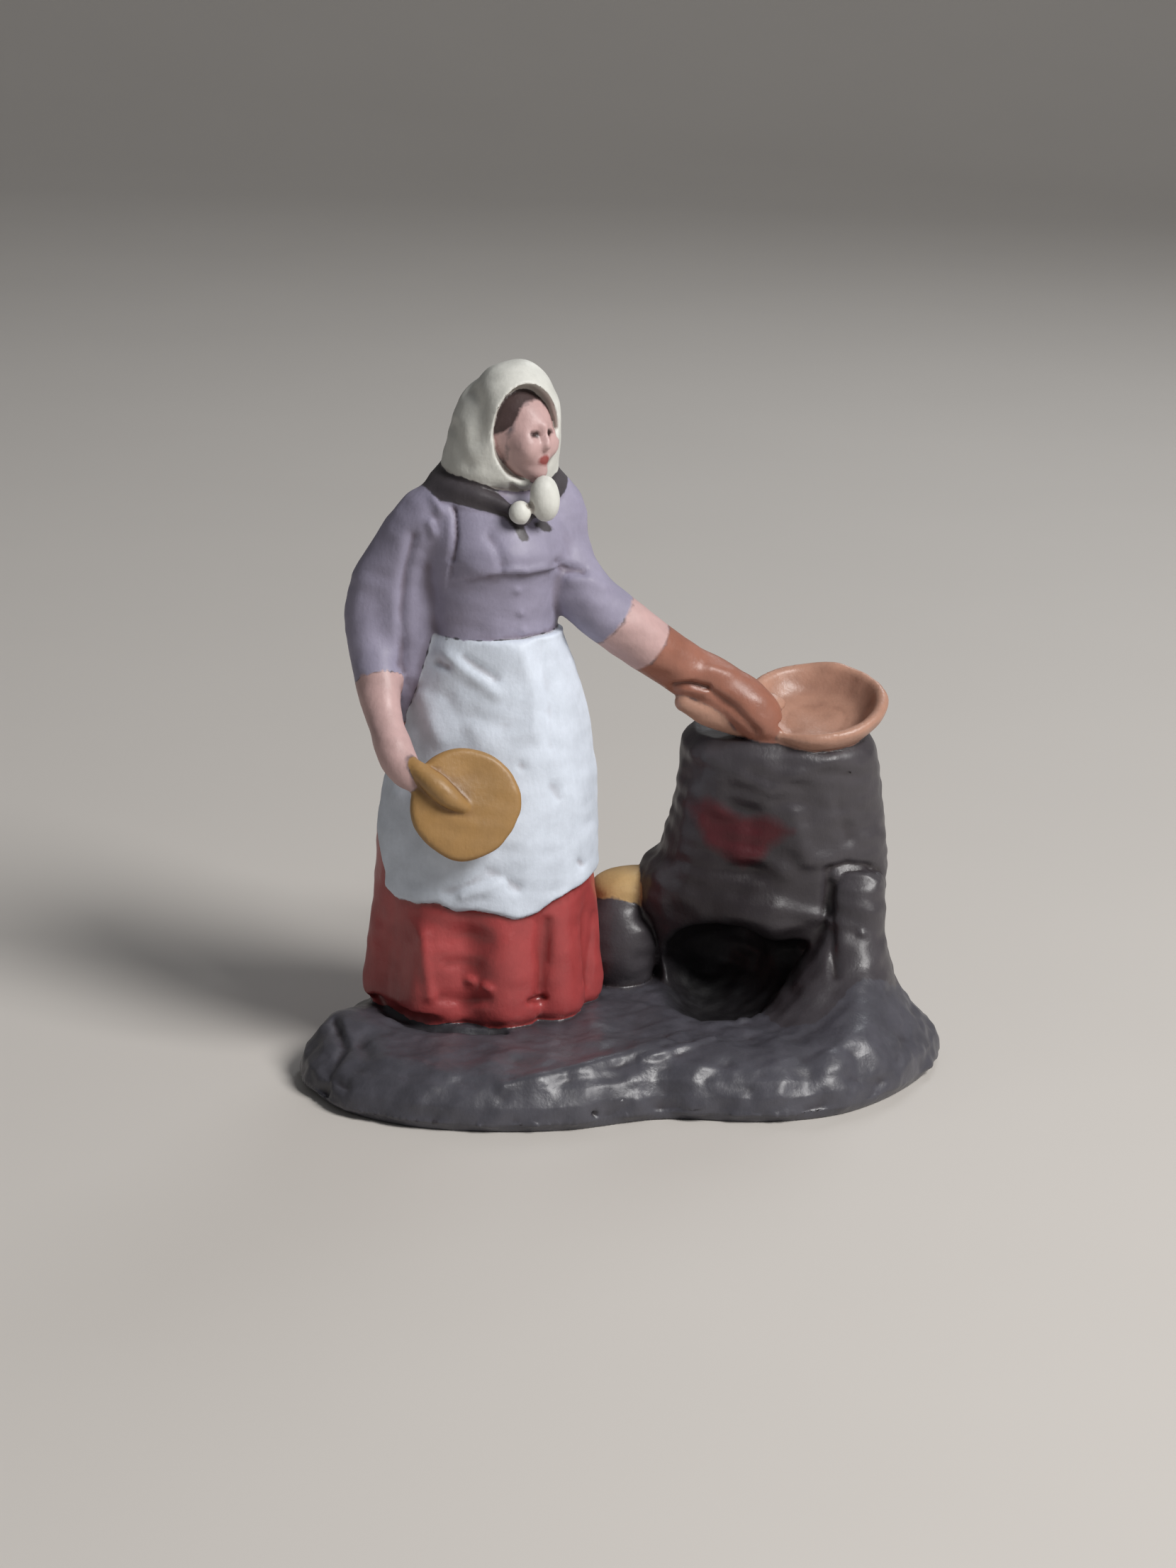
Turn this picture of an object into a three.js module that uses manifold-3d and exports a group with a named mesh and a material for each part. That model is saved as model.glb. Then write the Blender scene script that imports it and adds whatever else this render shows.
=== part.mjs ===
// A small painted terracotta figure, cast in one piece.
// A woman in a headscarf, blouse, apron and long skirt stands on an uneven slab of ground.
// Her right hand holds a round straw fan and her left hand a pan on a rough stove.
// Millimetres, +Z up, -Y towards the viewer, +X towards the stove.
import * as THREE from "three";
import { mergeVertices } from "three/addons/utils/BufferGeometryUtils.js";
import Module from "manifold-3d";

const wasm = await Module();
wasm.setup();

// Driving sizes
const GROUND = 4.7; // top of the slab under the hem
const WAIST = 37.4;
const BODY_TURN = 25; // degrees that she is turned towards the stove
const SKIRT_AXIS = [-12.4, 3.4];
const STOVE_AXIS = [13.2, 9.3];
const STOVE_TOP = 27.9;
const APRON = { thick: 0.5, left: -161, right: 14, lowEdge: 14.9, sideRise: 1.8 };
const FAN = { at: [-13.9, -6.7, 25.0], radius: 4.7, thick: 1.1, lean: 16, turn: 9 };
const PAN = { at: [16.1, 9.1, 30.5], radius: 6.4, lean: 17, dip: 5 };
const CLAY = { color: "#8f7d78", roughness: 0.45, metalness: 0 };

// The slab's outline on the table, as places x and y, round from the left end
const SLAB_OUTLINE = [
  [-27.7, -6.6],
  [-24.6, -14.0],
  [-18.8, -17.6],
  [-11.5, -18.5],
  [-4.5, -17.6],
  [3.5, -14.5],
  [12.6, -14.4],
  [19.1, -12.1],
  [24.6, -6.4],
  [27.9, 0.6],
  [27.0, 8.0],
  [22.0, 14.6],
  [13.0, 17.6],
  [2.0, 17.4],
  [-8.0, 17.9],
  [-17.0, 14.5],
  [-22.6, 7.6],
  [-26.2, -0.6],
];

// The slab's rings from the underside up, as height and share of the outline
const SLAB_RINGS = [
  [0, 0.972],
  [0.8, 1],
  [2.2, 0.985],
  [3.4, 0.935],
  [4.2, 0.865],
  [GROUND - 0.1, 0.77],
  [GROUND, 0.65],
  [GROUND, 0.5],
  [GROUND, 0.34],
  [GROUND, 0.16],
];
// Swellings of the ground: centre x, centre y, half width, half depth and rise
const MOUNDS = [
  [20.2, 3.6, 4.8, 5.2, 4.4],
  [20.8, -3.4, 4.0, 5.2, 2.1],
  [19.6, -9.0, 2.8, 2.8, 0.8],
  [-24.4, -4.4, 2.8, 4.4, 1.2],
  [4.0, -9.5, 8.0, 2.2, 0.5],
];

// Upright forms as rows of height, centre x, centre y, half width, half depth
const SKIRT = [
  [4.3, ...SKIRT_AXIS, 9.6, 8.8],
  [5.6, ...SKIRT_AXIS, 10.3, 9.5],
  [9, ...SKIRT_AXIS, 10.0, 9.2],
  [15.5, ...SKIRT_AXIS, 9.5, 8.6],
  [21, ...SKIRT_AXIS, 9.3, 8.2],
  [26, -12.1, 3.3, 8.6, 7.3],
  [31, -11.9, 3.2, 7.6, 6.1],
  [35, -12.0, 3.0, 6.4, 5.2],
  [WAIST + 0.3, -12.0, 2.9, 5.5, 4.7],
];
const BODICE = [
  [WAIST - 1, -12.0, 2.9, 5.5, 4.6],
  [38.8, -12.0, 2.9, 5.6, 4.7],
  [41.5, -12.0, 2.8, 5.9, 5.0],
  [44.4, -12.0, 2.7, 6.2, 5.3],
  [47.4, -12.1, 3.0, 6.4, 4.8],
  [49.8, -12.2, 3.4, 5.9, 4.0],
  [51.8, -12.0, 3.8, 4.6, 3.4],
  [54, -11.6, 3.8, 3.2, 3.0],
];
const SCARF = [
  [49.2, -11.7, 4.0, 3.6, 3.4],
  [50.2, -11.8, 3.8, 4.5, 4.3],
  [51.4, -11.9, 3.7, 4.9, 4.8],
  [53, -11.8, 3.6, 4.9, 4.9],
  [55, -11.5, 3.4, 4.7, 5.0],
  [57, -11.1, 3.2, 4.3, 4.8],
  [59, -10.8, 3.0, 3.6, 4.2],
  [60.4, -10.7, 2.9, 2.5, 3.0],
  [61.2, -10.7, 2.9, 1.0, 1.2],
];
const STOVE = [
  [2.5, 14.0, 9.6, 10.8, 7.2],
  [6, 13.5, 9.5, 10.6, 6.9],
  [9, 12.7, 9.4, 10.4, 6.7],
  [12.2, 12.0, 9.4, 11.2, 6.7],
  [14.6, 12.4, 9.4, 11.0, 6.6],
  [16.8, 13.0, 9.4, 10.2, 6.5],
  [20, ...STOVE_AXIS, 9.5, 6.3],
  [24, ...STOVE_AXIS, 8.9, 6.1],
  [STOVE_TOP - 1.1, ...STOVE_AXIS, 8.6, 6.0],
  [STOVE_TOP, ...STOVE_AXIS, 7.7, 5.2],
];
const PILLAR = [
  [2.8, 20.2, 4.0, 4.8, 5.4],
  [5.2, 20.2, 4.0, 4.4, 5.0],
  [7.6, 20.1, 4.2, 3.6, 4.3],
  [10.5, 20.0, 4.6, 2.9, 3.5],
  [15.2, 20.1, 5.2, 2.5, 2.9],
  [16.4, 20.1, 5.6, 1.7, 2.0],
];

// Limbs as rows of x, y, z and radius along their middle
const FAN_ARM = [
  [-15.4, 2.4, 48.4, 2.4],
  [-17.6, 1.8, 47.4, 2.9],
  [-20.2, 2.2, 44.0, 2.7],
  [-22.1, 2.2, 40.6, 2.5],
  [-22.3, 1.2, 37.0, 2.2],
  [-21.5, -1.0, 33.4, 1.85],
  [-20.8, -3.2, 30.8, 1.5],
  [-19.9, -5.0, 28.9, 1.6],
  [-18.9, -6.2, 27.5, 1.4],
  [-18.2, -6.8, 26.6, 0.8],
];
const PAN_ARM = [
  [-9.0, 4.6, 49.2, 2.4],
  [-7.4, 4.8, 48.0, 2.9],
  [-6.6, 3.9, 44.8, 2.6],
  [-4.9, 3.0, 41.6, 2.6],
  [-1.7, 3.4, 38.8, 2.5],
  [1.6, 4.4, 36.2, 2.4],
  [4.7, 5.4, 34.0, 2.3],
  [7.6, 5.9, 32.4, 2.35],
  [9.8, 5.7, 31.0, 2.3],
  [11.4, 5.4, 29.8, 1.9],
  [12.4, 5.2, 28.9, 1.2],
];
const COLLAR_LEFT = [
  [-11.4, 7.4, 51.6, 1.3],
  [-15.0, 5.4, 50.7, 1.5],
  [-15.8, 2.0, 49.8, 1.5],
  [-14.6, -0.4, 48.7, 1.6],
  [-11.8, -1.5, 47.9, 1.2],
  [-9.6, -2.2, 46.9, 0.6],
];
const COLLAR_RIGHT = [
  [-11.4, 7.4, 51.6, 1.3],
  [-8.4, 7.0, 50.8, 1.4],
  [-7.0, 4.6, 50.0, 1.4],
  [-7.0, 1.4, 49.2, 1.3],
  [-8.0, -1.2, 48.2, 1.0],
  [-9.3, -2.1, 47.2, 0.6],
];
const PAN_HANDLE = [
  [12.0, 7.6, 29.6, 2.0],
  [9.0, 6.0, 29.8, 1.6],
  [6.6, 4.9, 30.4, 1.2],
  [4.6, 4.4, 31.4, 0.8],
];
const FAN_HANDLE = [
  [-19.6, -6.9, 29.6, 0.8],
  [-17.4, -7.6, 28.2, 0.95],
  [-14.4, -7.9, 25.8, 1.0],
  [-13.6, -7.6, 25.0, 0.5],
];

// Folds of the skirt: direction in degrees, half width in degrees, and how far they stand out
const FOLDS = [
  [-140, 9, -0.4],
  [-119, 11, 0.6],
  [-97, 8, -0.6],
  [-75, 13, 0.5],
  [-54, 6, -0.7],
  [-38, 10, 0.4],
  [-17, 8, -0.5],
  [32, 9, -0.5],
  [68, 9, -0.5],
  [108, 9, -0.5],
  [146, 9, -0.5],
];

function bump(offset, halfWidth) {
  return Math.exp(-((offset / halfWidth) ** 2));
}

// The row at a key between the first and the last, on a smooth curve through all rows
function rowAt(keys, rows, key) {
  const last = rows.length - 1;
  const place = THREE.MathUtils.clamp(key, keys[0], keys[last]);
  let i = 0;
  while (i < last - 1 && place > keys[i + 1]) i += 1;
  const before = Math.max(i - 1, 0);
  const after = Math.min(i + 2, last);
  const step = keys[i + 1] - keys[i];
  const t = (place - keys[i]) / step;
  return rows[i].map((value, k) => {
    const next = rows[i + 1][k];
    const slopeIn = ((next - rows[before][k]) * step) / (keys[i + 1] - keys[before]);
    const slopeOut = ((rows[after][k] - value) * step) / (keys[after] - keys[i]);
    const rise = next - value;
    return value + t * (slopeIn + t * (3 * rise - 2 * slopeIn - slopeOut + t * (slopeIn + slopeOut - 2 * rise)));
  });
}

function sectionAt(rows, height) {
  return rowAt(rows.map((row) => row[0]), rows, height);
}

function alongAt(rows, share) {
  return rowAt(rows.map((_, i) => i), rows, share * (rows.length - 1));
}

// A closed cylinder whose points are moved by a function of angle, share of height and reach
function moulded(sides, levels, place) {
  const geometry = new THREE.CylinderGeometry(1, 1, 1, sides, levels).rotateX(Math.PI / 2);
  const points = geometry.attributes.position;
  for (let i = 0; i < points.count; i += 1) {
    const [x, y] = [points.getX(i), points.getY(i)];
    const reach = Math.hypot(x, y) > 0.5 ? 1 : 0;
    const at = place(reach ? Math.atan2(y, x) : 0, points.getZ(i) + 0.5, reach);
    points.setXYZ(i, ...at);
  }
  return geometry;
}

// An upright form through its rows, turned in plan and swollen by a function of direction and height.
// A corner of 2 gives round sections, and a higher one squarer ones.
function stack(rows, { sides, levels, turn = 0, corner = 2, swell = () => 0 }) {
  const spin = THREE.MathUtils.degToRad(turn);
  return moulded(sides, levels, (angle, share, reach) => {
    const height = alongAt(rows, share)[0];
    const [, x, y, halfWidth, halfDepth] = sectionAt(rows, height);
    const extra = swell(THREE.MathUtils.radToDeg(angle), height);
    const [c, s] = [Math.cos(angle), Math.sin(angle)];
    const square = reach / (Math.abs(c) ** corner + Math.abs(s) ** corner) ** (1 / corner);
    const across = square * (halfWidth + extra) * c;
    const deep = square * (halfDepth + extra) * s;
    return [
      x + across * Math.cos(spin) - deep * Math.sin(spin),
      y + across * Math.sin(spin) + deep * Math.cos(spin),
      height,
    ];
  });
}

// A round limb along its rows
function limb(rows, sides, levels) {
  const sideways = new THREE.Vector3(0.1, 1, 0).normalize();
  return moulded(sides, levels, (angle, share, reach) => {
    const [x, y, z, radius] = alongAt(rows, share);
    const from = alongAt(rows, Math.max(share - 0.02, 0));
    const to = alongAt(rows, Math.min(share + 0.02, 1));
    const along = new THREE.Vector3(to[0] - from[0], to[1] - from[1], to[2] - from[2]).normalize();
    const first = new THREE.Vector3().crossVectors(sideways, along).normalize();
    const second = new THREE.Vector3().crossVectors(along, first);
    const point = new THREE.Vector3(x, y, z);
    point.addScaledVector(first, reach * radius * Math.cos(angle));
    point.addScaledVector(second, reach * radius * Math.sin(angle));
    return point.toArray();
  });
}

// An egg-shaped lump, tipped about X and then turned about Z
function lump(at, radii, { tip = 0, turn = 0, fine = 20 } = {}) {
  return new THREE.SphereGeometry(1, fine, Math.round(fine * 0.6))
    .rotateX(Math.PI / 2)
    .scale(...radii)
    .rotateX(THREE.MathUtils.degToRad(tip))
    .rotateZ(THREE.MathUtils.degToRad(turn))
    .translate(...at);
}

function solid(geometry) {
  geometry.deleteAttribute("normal");
  geometry.deleteAttribute("uv");
  const merged = mergeVertices(geometry, 1e-4);
  const vertProperties = new Float32Array(merged.attributes.position.array);
  const triVerts = new Uint32Array(merged.index.array);
  return new wasm.Manifold(new wasm.Mesh({ numProp: 3, vertProperties, triVerts }));
}

function joined(...solids) {
  return solids.reduce((sum, next) => sum.add(next));
}

// The ground slab: its outline drawn in ring by ring, with mounds on its top
function slab() {
  const outline = new THREE.CatmullRomCurve3(
    SLAB_OUTLINE.map(([x, y]) => new THREE.Vector3(x, y, 0)),
    true,
    "centripetal",
  );
  return moulded(48, SLAB_RINGS.length - 1, (angle, share, reach) => {
    const [height, spread] = alongAt(SLAB_RINGS, share);
    const edge = outline.getPoint((angle / (2 * Math.PI) + 1) % 1).multiplyScalar(reach * spread);
    const rise = MOUNDS.reduce((sum, [x, y, halfWidth, halfDepth, lift]) => {
      return sum + lift * bump(edge.x - x, halfWidth) * bump(edge.y - y, halfDepth);
    }, 0);
    return [edge.x, edge.y, height * (1 + rise / GROUND)];
  });
}

function skirtFolds(direction, height) {
  const low = 1 - THREE.MathUtils.smoothstep(height, 11, 17);
  return low * FOLDS.reduce((sum, [at, half, out]) => sum + out * bump(direction - at, half), 0);
}

// The skirt with the apron on it. One ring of points follows the apron's low edge round the front.
function skirt() {
  const [lowRings, highRings] = [5, 7];
  const middle = (APRON.left + APRON.right) / 2;
  const half = (APRON.right - APRON.left) / 2;
  const [hem, top] = [SKIRT[0][0], SKIRT.at(-1)[0]];
  return moulded(60, lowRings + highRings, (angle, share, reach) => {
    const direction = THREE.MathUtils.radToDeg(angle);
    const off = Math.abs(THREE.MathUtils.euclideanModulo(direction - middle + 180, 360) - 180) / half;
    const edge = APRON.lowEdge + APRON.sideRise * Math.min(off, 1) ** 2;
    const ring = Math.round(share * (lowRings + highRings));
    const onApron = ring >= lowRings;
    const height = onApron
      ? THREE.MathUtils.mapLinear(ring, lowRings, lowRings + highRings, edge, top)
      : THREE.MathUtils.mapLinear(ring, 0, lowRings - 1, hem, edge - 0.2);
    const [, x, y, halfWidth, halfDepth] = sectionAt(SKIRT, height);
    const narrowing = 1 - 0.28 * Math.max((height - edge) / (top - edge), 0) ** 1.5;
    const out = onApron && off < narrowing ? APRON.thick : 0;
    const extra = out + skirtFolds(direction, height);
    return [
      x + reach * (halfWidth + extra) * Math.cos(angle),
      y + reach * (halfDepth + extra) * Math.sin(angle),
      height,
    ];
  });
}

// The blouse, fuller in front at the chest, with the clay that fills the gap to the arm at her side
function bodice() {
  const chest = (direction, height) => 1.0 * bump(direction + 90, 52) * bump(height - 45.2, 2.6);
  const body = stack(BODICE, { sides: 30, levels: 10, turn: BODY_TURN, swell: chest });
  const sideFill = lump([-18.6, 1.0, 39.6], [3.4, 1.9, 9.6], { turn: BODY_TURN, fine: 14 });
  return joined(solid(body), solid(sideFill));
}

function head() {
  const hood = stack(SCARF, { sides: 26, levels: 11, turn: BODY_TURN });
  const opening = lump([-9.0, -2.2, 55.8], [3.0, 1.9, 4.1], { tip: -4, turn: BODY_TURN, fine: 16 });
  const face = lump([-9.9, 0.6, 55.2], [3.0, 2.5, 3.9], { tip: -6, turn: BODY_TURN, fine: 18 });
  const tail = lump([-13.3, 6.5, 49.4], [3.6, 1.3, 4.4], { tip: -8, turn: BODY_TURN, fine: 12 });
  const knot = lump([-9.9, -2.0, 49.1], [1.0, 0.9, 1.0], { fine: 10 });
  const ends = lump([-8.0, -1.6, 50.2], [1.2, 1.0, 2.0], { fine: 10 });
  return joined(solid(hood).subtract(solid(opening)), ...[face, tail, knot, ends].map(solid));
}

function collar() {
  return joined(solid(limb(COLLAR_LEFT, 10, 9)), solid(limb(COLLAR_RIGHT, 10, 9)));
}

function fan() {
  const disc = moulded(30, 2, (angle, share, reach) => {
    const rim = reach * FAN.radius * (1 - 0.05 * Math.abs(share - 0.5) * 2);
    const dome = (1 - reach) * 0.35 * (share > 0.5 ? 1 : -1);
    return [rim * Math.cos(angle), rim * Math.sin(angle), (share - 0.5) * FAN.thick + dome];
  })
    .rotateX(THREE.MathUtils.degToRad(90 - FAN.lean))
    .rotateZ(THREE.MathUtils.degToRad(FAN.turn))
    .translate(...FAN.at);
  const backing = lump([-13.2, -4.8, 25.0], [3.4, 1.6, 3.2], { fine: 10 });
  return joined(solid(disc), solid(backing), solid(limb(FAN_HANDLE, 10, 6)));
}

function pan() {
  const bowl = [
    [-3.1, 0, 0, 2.6, 2.6],
    [-2.5, 0, 0, 4.4, 4.4],
    [-1.2, 0, 0, 5.9, 5.9],
    [-0.1, 0, 0, PAN.radius, PAN.radius],
    [0.35, 0, 0, PAN.radius - 0.4, PAN.radius - 0.4],
  ];
  const inside = [
    [-2.0, 0, 0, 2.6, 2.6],
    [-1.5, 0, 0, 4.0, 4.0],
    [-0.5, 0, 0, 5.0, 5.0],
    [0.6, 0, 0, 5.6, 5.6],
  ];
  const [outer, inner] = [bowl, inside].map((rows) =>
    solid(
      stack(rows, { sides: 32, levels: rows.length })
        .rotateY(THREE.MathUtils.degToRad(-PAN.dip))
        .rotateX(THREE.MathUtils.degToRad(PAN.lean))
        .translate(...PAN.at),
    ),
  );
  return joined(outer, solid(limb(PAN_HANDLE, 10, 6))).subtract(inner);
}

function stove() {
  const body = solid(stack(STOVE, { sides: 32, levels: 10, corner: 2.7 }));
  const pillar = solid(stack(PILLAR, { sides: 20, levels: 7, corner: 2.4 }));
  const ledge = solid(lump([11.8, 5.0, 12.4], [6.4, 2.9, 2.7], { turn: -4, fine: 16 }));
  const fireHole = [
    lump([8.7, 3.4, 7.4], [6.2, 6.8, 4.6], { fine: 18 }),
    lump([14.2, 3.4, 8.0], [4.2, 4.2, 2.4], { fine: 12 }),
  ];
  const draughtDent = lump([8.2, 1.4, 20.6], [6.2, 2.5, 4.4], { turn: 4, fine: 14 });
  const cuts = joined(...[...fireHole, draughtDent].map(solid));
  return joined(body, ledge).subtract(cuts).add(pillar);
}

function pot() {
  const body = lump([-0.4, 8.4, 8.0], [3.7, 4.1, 5.2], { fine: 16 });
  const heap = lump([0.3, 9.4, 12.4], [3.4, 3.1, 2.2], { tip: -6, fine: 14 });
  return joined(solid(body), solid(heap));
}

function figure() {
  const cast = joined(
    solid(slab()),
    solid(skirt()),
    bodice(),
    head(),
    collar(),
    solid(limb(FAN_ARM, 12, 14)),
    solid(limb(PAN_ARM, 12, 15)),
    fan(),
    stove(),
    pot(),
  );
  return joined(cast, pan());
}

// The finished cast as a mesh, stood on its underside with its box centred on the origin
function meshOf(cast, name) {
  const { vertProperties, triVerts } = cast.getMesh();
  const geometry = new THREE.BufferGeometry();
  geometry.setAttribute("position", new THREE.BufferAttribute(vertProperties, 3));
  geometry.setIndex(new THREE.BufferAttribute(triVerts, 1));
  geometry.computeBoundingBox();
  const { min, max } = geometry.boundingBox;
  geometry.translate(-(min.x + max.x) / 2, -(min.y + max.y) / 2, -min.z);
  geometry.computeVertexNormals();
  const mesh = new THREE.Mesh(geometry, new THREE.MeshStandardMaterial(CLAY));
  mesh.name = name;
  return mesh;
}

const part = new THREE.Group();
part.add(meshOf(figure(), "woman_at_stove"));

export default part;
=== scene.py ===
"""Looks of the painted terracotta figure: a woman at a stove, cast in one piece.

The cast is modelled as clay is: forms are pressed together and cut away on a fine grid, the grid's
surface becomes one mesh, a modelling tool's marks are pressed into it, and each paint is laid where
its own form lies nearest. Sizes are in millimetres in the cast's own tables and in metres in Blender.
"""

import math

import bpy
import numpy as np
from mathutils import Matrix, Vector


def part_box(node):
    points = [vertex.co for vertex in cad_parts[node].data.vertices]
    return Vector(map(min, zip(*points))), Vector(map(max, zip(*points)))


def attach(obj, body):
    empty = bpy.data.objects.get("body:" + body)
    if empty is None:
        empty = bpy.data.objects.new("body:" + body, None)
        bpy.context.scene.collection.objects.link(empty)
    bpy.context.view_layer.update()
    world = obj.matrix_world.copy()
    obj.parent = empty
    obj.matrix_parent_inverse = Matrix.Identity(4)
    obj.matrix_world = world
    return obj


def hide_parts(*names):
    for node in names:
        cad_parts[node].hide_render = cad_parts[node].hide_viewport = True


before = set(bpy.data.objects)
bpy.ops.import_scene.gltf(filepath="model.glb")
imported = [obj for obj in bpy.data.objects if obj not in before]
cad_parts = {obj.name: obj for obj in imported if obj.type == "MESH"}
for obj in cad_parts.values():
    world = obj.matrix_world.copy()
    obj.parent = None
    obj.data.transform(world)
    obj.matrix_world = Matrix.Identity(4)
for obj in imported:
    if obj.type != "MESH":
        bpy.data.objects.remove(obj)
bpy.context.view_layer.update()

bl_info = {
    "name": "Painted clay figure",
    "version": (1, 0, 0),
    "blender": (4, 5, 0),
    "location": "View3D > Sidebar > Clay figure",
    "description": "Models and paints a small clay figure of a woman at a stove",
    "category": "Object",
}

NODE = "woman_at_stove"
BODY = "root"

MM = 0.001
CAST_MIDDLE = (0.164, -0.238)  # the point of the tables that stands over the CAD part's origin
FAR = 9.0  # the clay grid's value away from every form

# The camera, in the cast's tables: where it stands, how it is tipped, and its reach
EYE = np.array([-3.57, -303.21, 116.03])
PITCH = math.radians(16.7)
ROLL = math.radians(1.7)
LENS = 84.63
DRAWING_DISTANCE = 315.0  # from the camera to the plane of the front drawing

# Driving sizes of the cast
GROUND = 4.7
WAIST = 37.4
BODY_TURN = 25.0
FACE_TURN = 45.0
SKIRT_AXIS = (-12.4, 3.4)
STOVE_AXIS = (13.2, 9.3)
STOVE_TOP = 27.9
APRON_THICK = 0.5
FAN = {"at": (-13.9, -6.7, 25.0), "radius": 4.7, "thick": 1.1, "lean": 16, "turn": 9}
PAN = {"at": (16.1, 9.1, 30.5), "radius": 6.4, "lean": 17, "dip": 5}
FACE = np.array([-9.8, 1.1, 55.1])
CAP = {"at": (-10.75, 2.4, 56.3), "radii": (3.95, 4.3, 4.9)}
OPENING = {"at": (-9.5, -0.5, 55.5), "radii": (2.9, 2.7, 4.1), "turn": 30}
CHIN = 50.0

SLAB_OUTLINE = [
    (-27.7, -6.6), (-24.6, -14.0), (-18.8, -17.6), (-11.5, -18.5), (-4.5, -17.6), (3.5, -14.5),
    (12.6, -14.4), (19.1, -12.1), (24.6, -6.4), (27.9, 0.6), (27.0, 8.0), (22.0, 14.6),
    (13.0, 17.6), (2.0, 17.4), (-8.0, 17.9), (-17.0, 14.5), (-22.6, 7.6), (-26.2, -0.6),
]
# Height and share of the outline, from the underside up
SLAB_RINGS = [
    (0, 0.972), (0.8, 1), (2.2, 0.985), (3.4, 0.935), (4.2, 0.865), (4.6, 0.77), (4.7, 0.65),
]
# Swellings and hollows of the ground: place, half width, half depth, rise
MOUNDS = [
    (20.2, 3.6, 4.8, 5.2, 4.4), (20.8, -3.4, 4.0, 5.2, 2.1), (19.6, -9.0, 2.8, 2.8, 0.8),
    (-24.4, -4.4, 2.8, 4.4, 1.2), (4.0, -9.5, 8.0, 2.2, 0.5),
]

# Upright forms: height, middle x, middle y, half width, half depth
SKIRT = [
    (4.3, *SKIRT_AXIS, 9.6, 8.8), (5.6, *SKIRT_AXIS, 10.3, 9.5), (9, *SKIRT_AXIS, 10.0, 9.2),
    (15.5, *SKIRT_AXIS, 9.5, 8.6), (21, *SKIRT_AXIS, 9.3, 8.2), (26, -12.1, 3.3, 8.6, 7.3),
    (31, -11.9, 3.2, 7.6, 6.1), (35, -12.0, 3.0, 6.4, 5.2), (WAIST + 0.3, -12.0, 2.9, 5.5, 4.7),
]
BODICE = [
    (WAIST - 1, -12.0, 2.9, 5.5, 4.6), (38.8, -12.0, 2.9, 5.6, 4.7), (41.5, -12.0, 2.8, 5.9, 5.0),
    (44.4, -12.0, 2.7, 6.2, 5.3), (47.4, -12.1, 3.0, 6.4, 4.8), (49.8, -12.2, 3.4, 5.9, 4.0),
    (51.8, -12.0, 3.8, 4.6, 3.4), (54, -11.6, 3.8, 3.2, 3.0),
]
SCARF = [
    (50.4, -11.7, 3.9, 3.9, 3.8), (51.0, -11.8, 3.8, 4.6, 4.5), (51.9, -11.9, 3.7, 4.95, 4.85),
    (53, -11.8, 3.6, 4.9, 4.9), (55, -11.5, 3.4, 4.7, 4.9), (57, -11.2, 3.3, 4.3, 4.6),
    (58.4, -11.2, 3.3, 3.6, 4.0), (59.4, -11.1, 3.2, 2.3, 2.8), (60.0, -11.1, 3.2, 0.9, 1.1),
]
STOVE = [
    (2.5, 14.0, 9.6, 10.8, 7.2), (6, 13.5, 9.5, 10.6, 6.9), (9, 12.7, 9.4, 10.4, 6.7),
    (12.2, 12.0, 9.4, 11.2, 6.7), (14.6, 12.4, 9.4, 11.0, 6.6), (16.8, 13.0, 9.4, 10.2, 6.5),
    (20, *STOVE_AXIS, 9.5, 6.3), (24, *STOVE_AXIS, 8.9, 6.1),
    (STOVE_TOP - 1.1, *STOVE_AXIS, 8.6, 6.0), (STOVE_TOP, *STOVE_AXIS, 7.7, 5.2),
]
PILLAR = [
    (2.8, 20.2, 4.0, 4.8, 5.4), (5.2, 20.2, 4.0, 4.4, 5.0), (7.6, 20.1, 4.2, 3.6, 4.3),
    (10.5, 20.0, 4.6, 2.9, 3.5), (15.2, 20.1, 5.2, 2.5, 2.9), (16.4, 20.1, 5.6, 1.7, 2.0),
]
PAN_OUTSIDE = [
    (-3.1, 0, 0, 2.6, 2.6), (-2.5, 0, 0, 4.4, 4.4), (-1.2, 0, 0, 5.9, 5.9),
    (-0.1, 0, 0, 6.4, 6.4), (0.35, 0, 0, 6.1, 6.1),
]
PAN_INSIDE = [
    (-2.0, 0, 0, 2.6, 2.6), (-1.5, 0, 0, 4.0, 4.0), (-0.5, 0, 0, 5.0, 5.0), (0.8, 0, 0, 5.7, 5.7),
]

# Limbs: x, y, z and radius along their middle
FAN_ARM = [
    (-15.4, 2.4, 48.4, 2.4), (-17.6, 1.8, 47.4, 2.9), (-20.2, 2.2, 44.0, 2.7),
    (-22.1, 2.2, 40.6, 2.5), (-22.3, 1.2, 37.0, 2.2), (-21.5, -1.0, 33.4, 1.85),
    (-20.8, -3.2, 30.8, 1.5), (-19.9, -5.0, 28.9, 1.6), (-18.9, -6.2, 27.5, 1.4),
    (-18.2, -6.8, 26.6, 0.8),
]
PAN_ARM = [
    (-9.0, 4.6, 49.2, 2.4), (-7.4, 4.8, 48.0, 2.9), (-6.6, 3.9, 44.8, 2.6), (-4.9, 3.0, 41.6, 2.6),
    (-1.7, 3.4, 38.8, 2.5), (1.6, 4.4, 36.2, 2.4), (4.7, 5.4, 34.0, 2.3), (7.6, 5.9, 32.4, 2.35),
    (9.8, 5.7, 31.0, 2.3), (11.4, 5.4, 29.8, 1.9), (12.4, 5.2, 28.9, 1.2),
]
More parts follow.
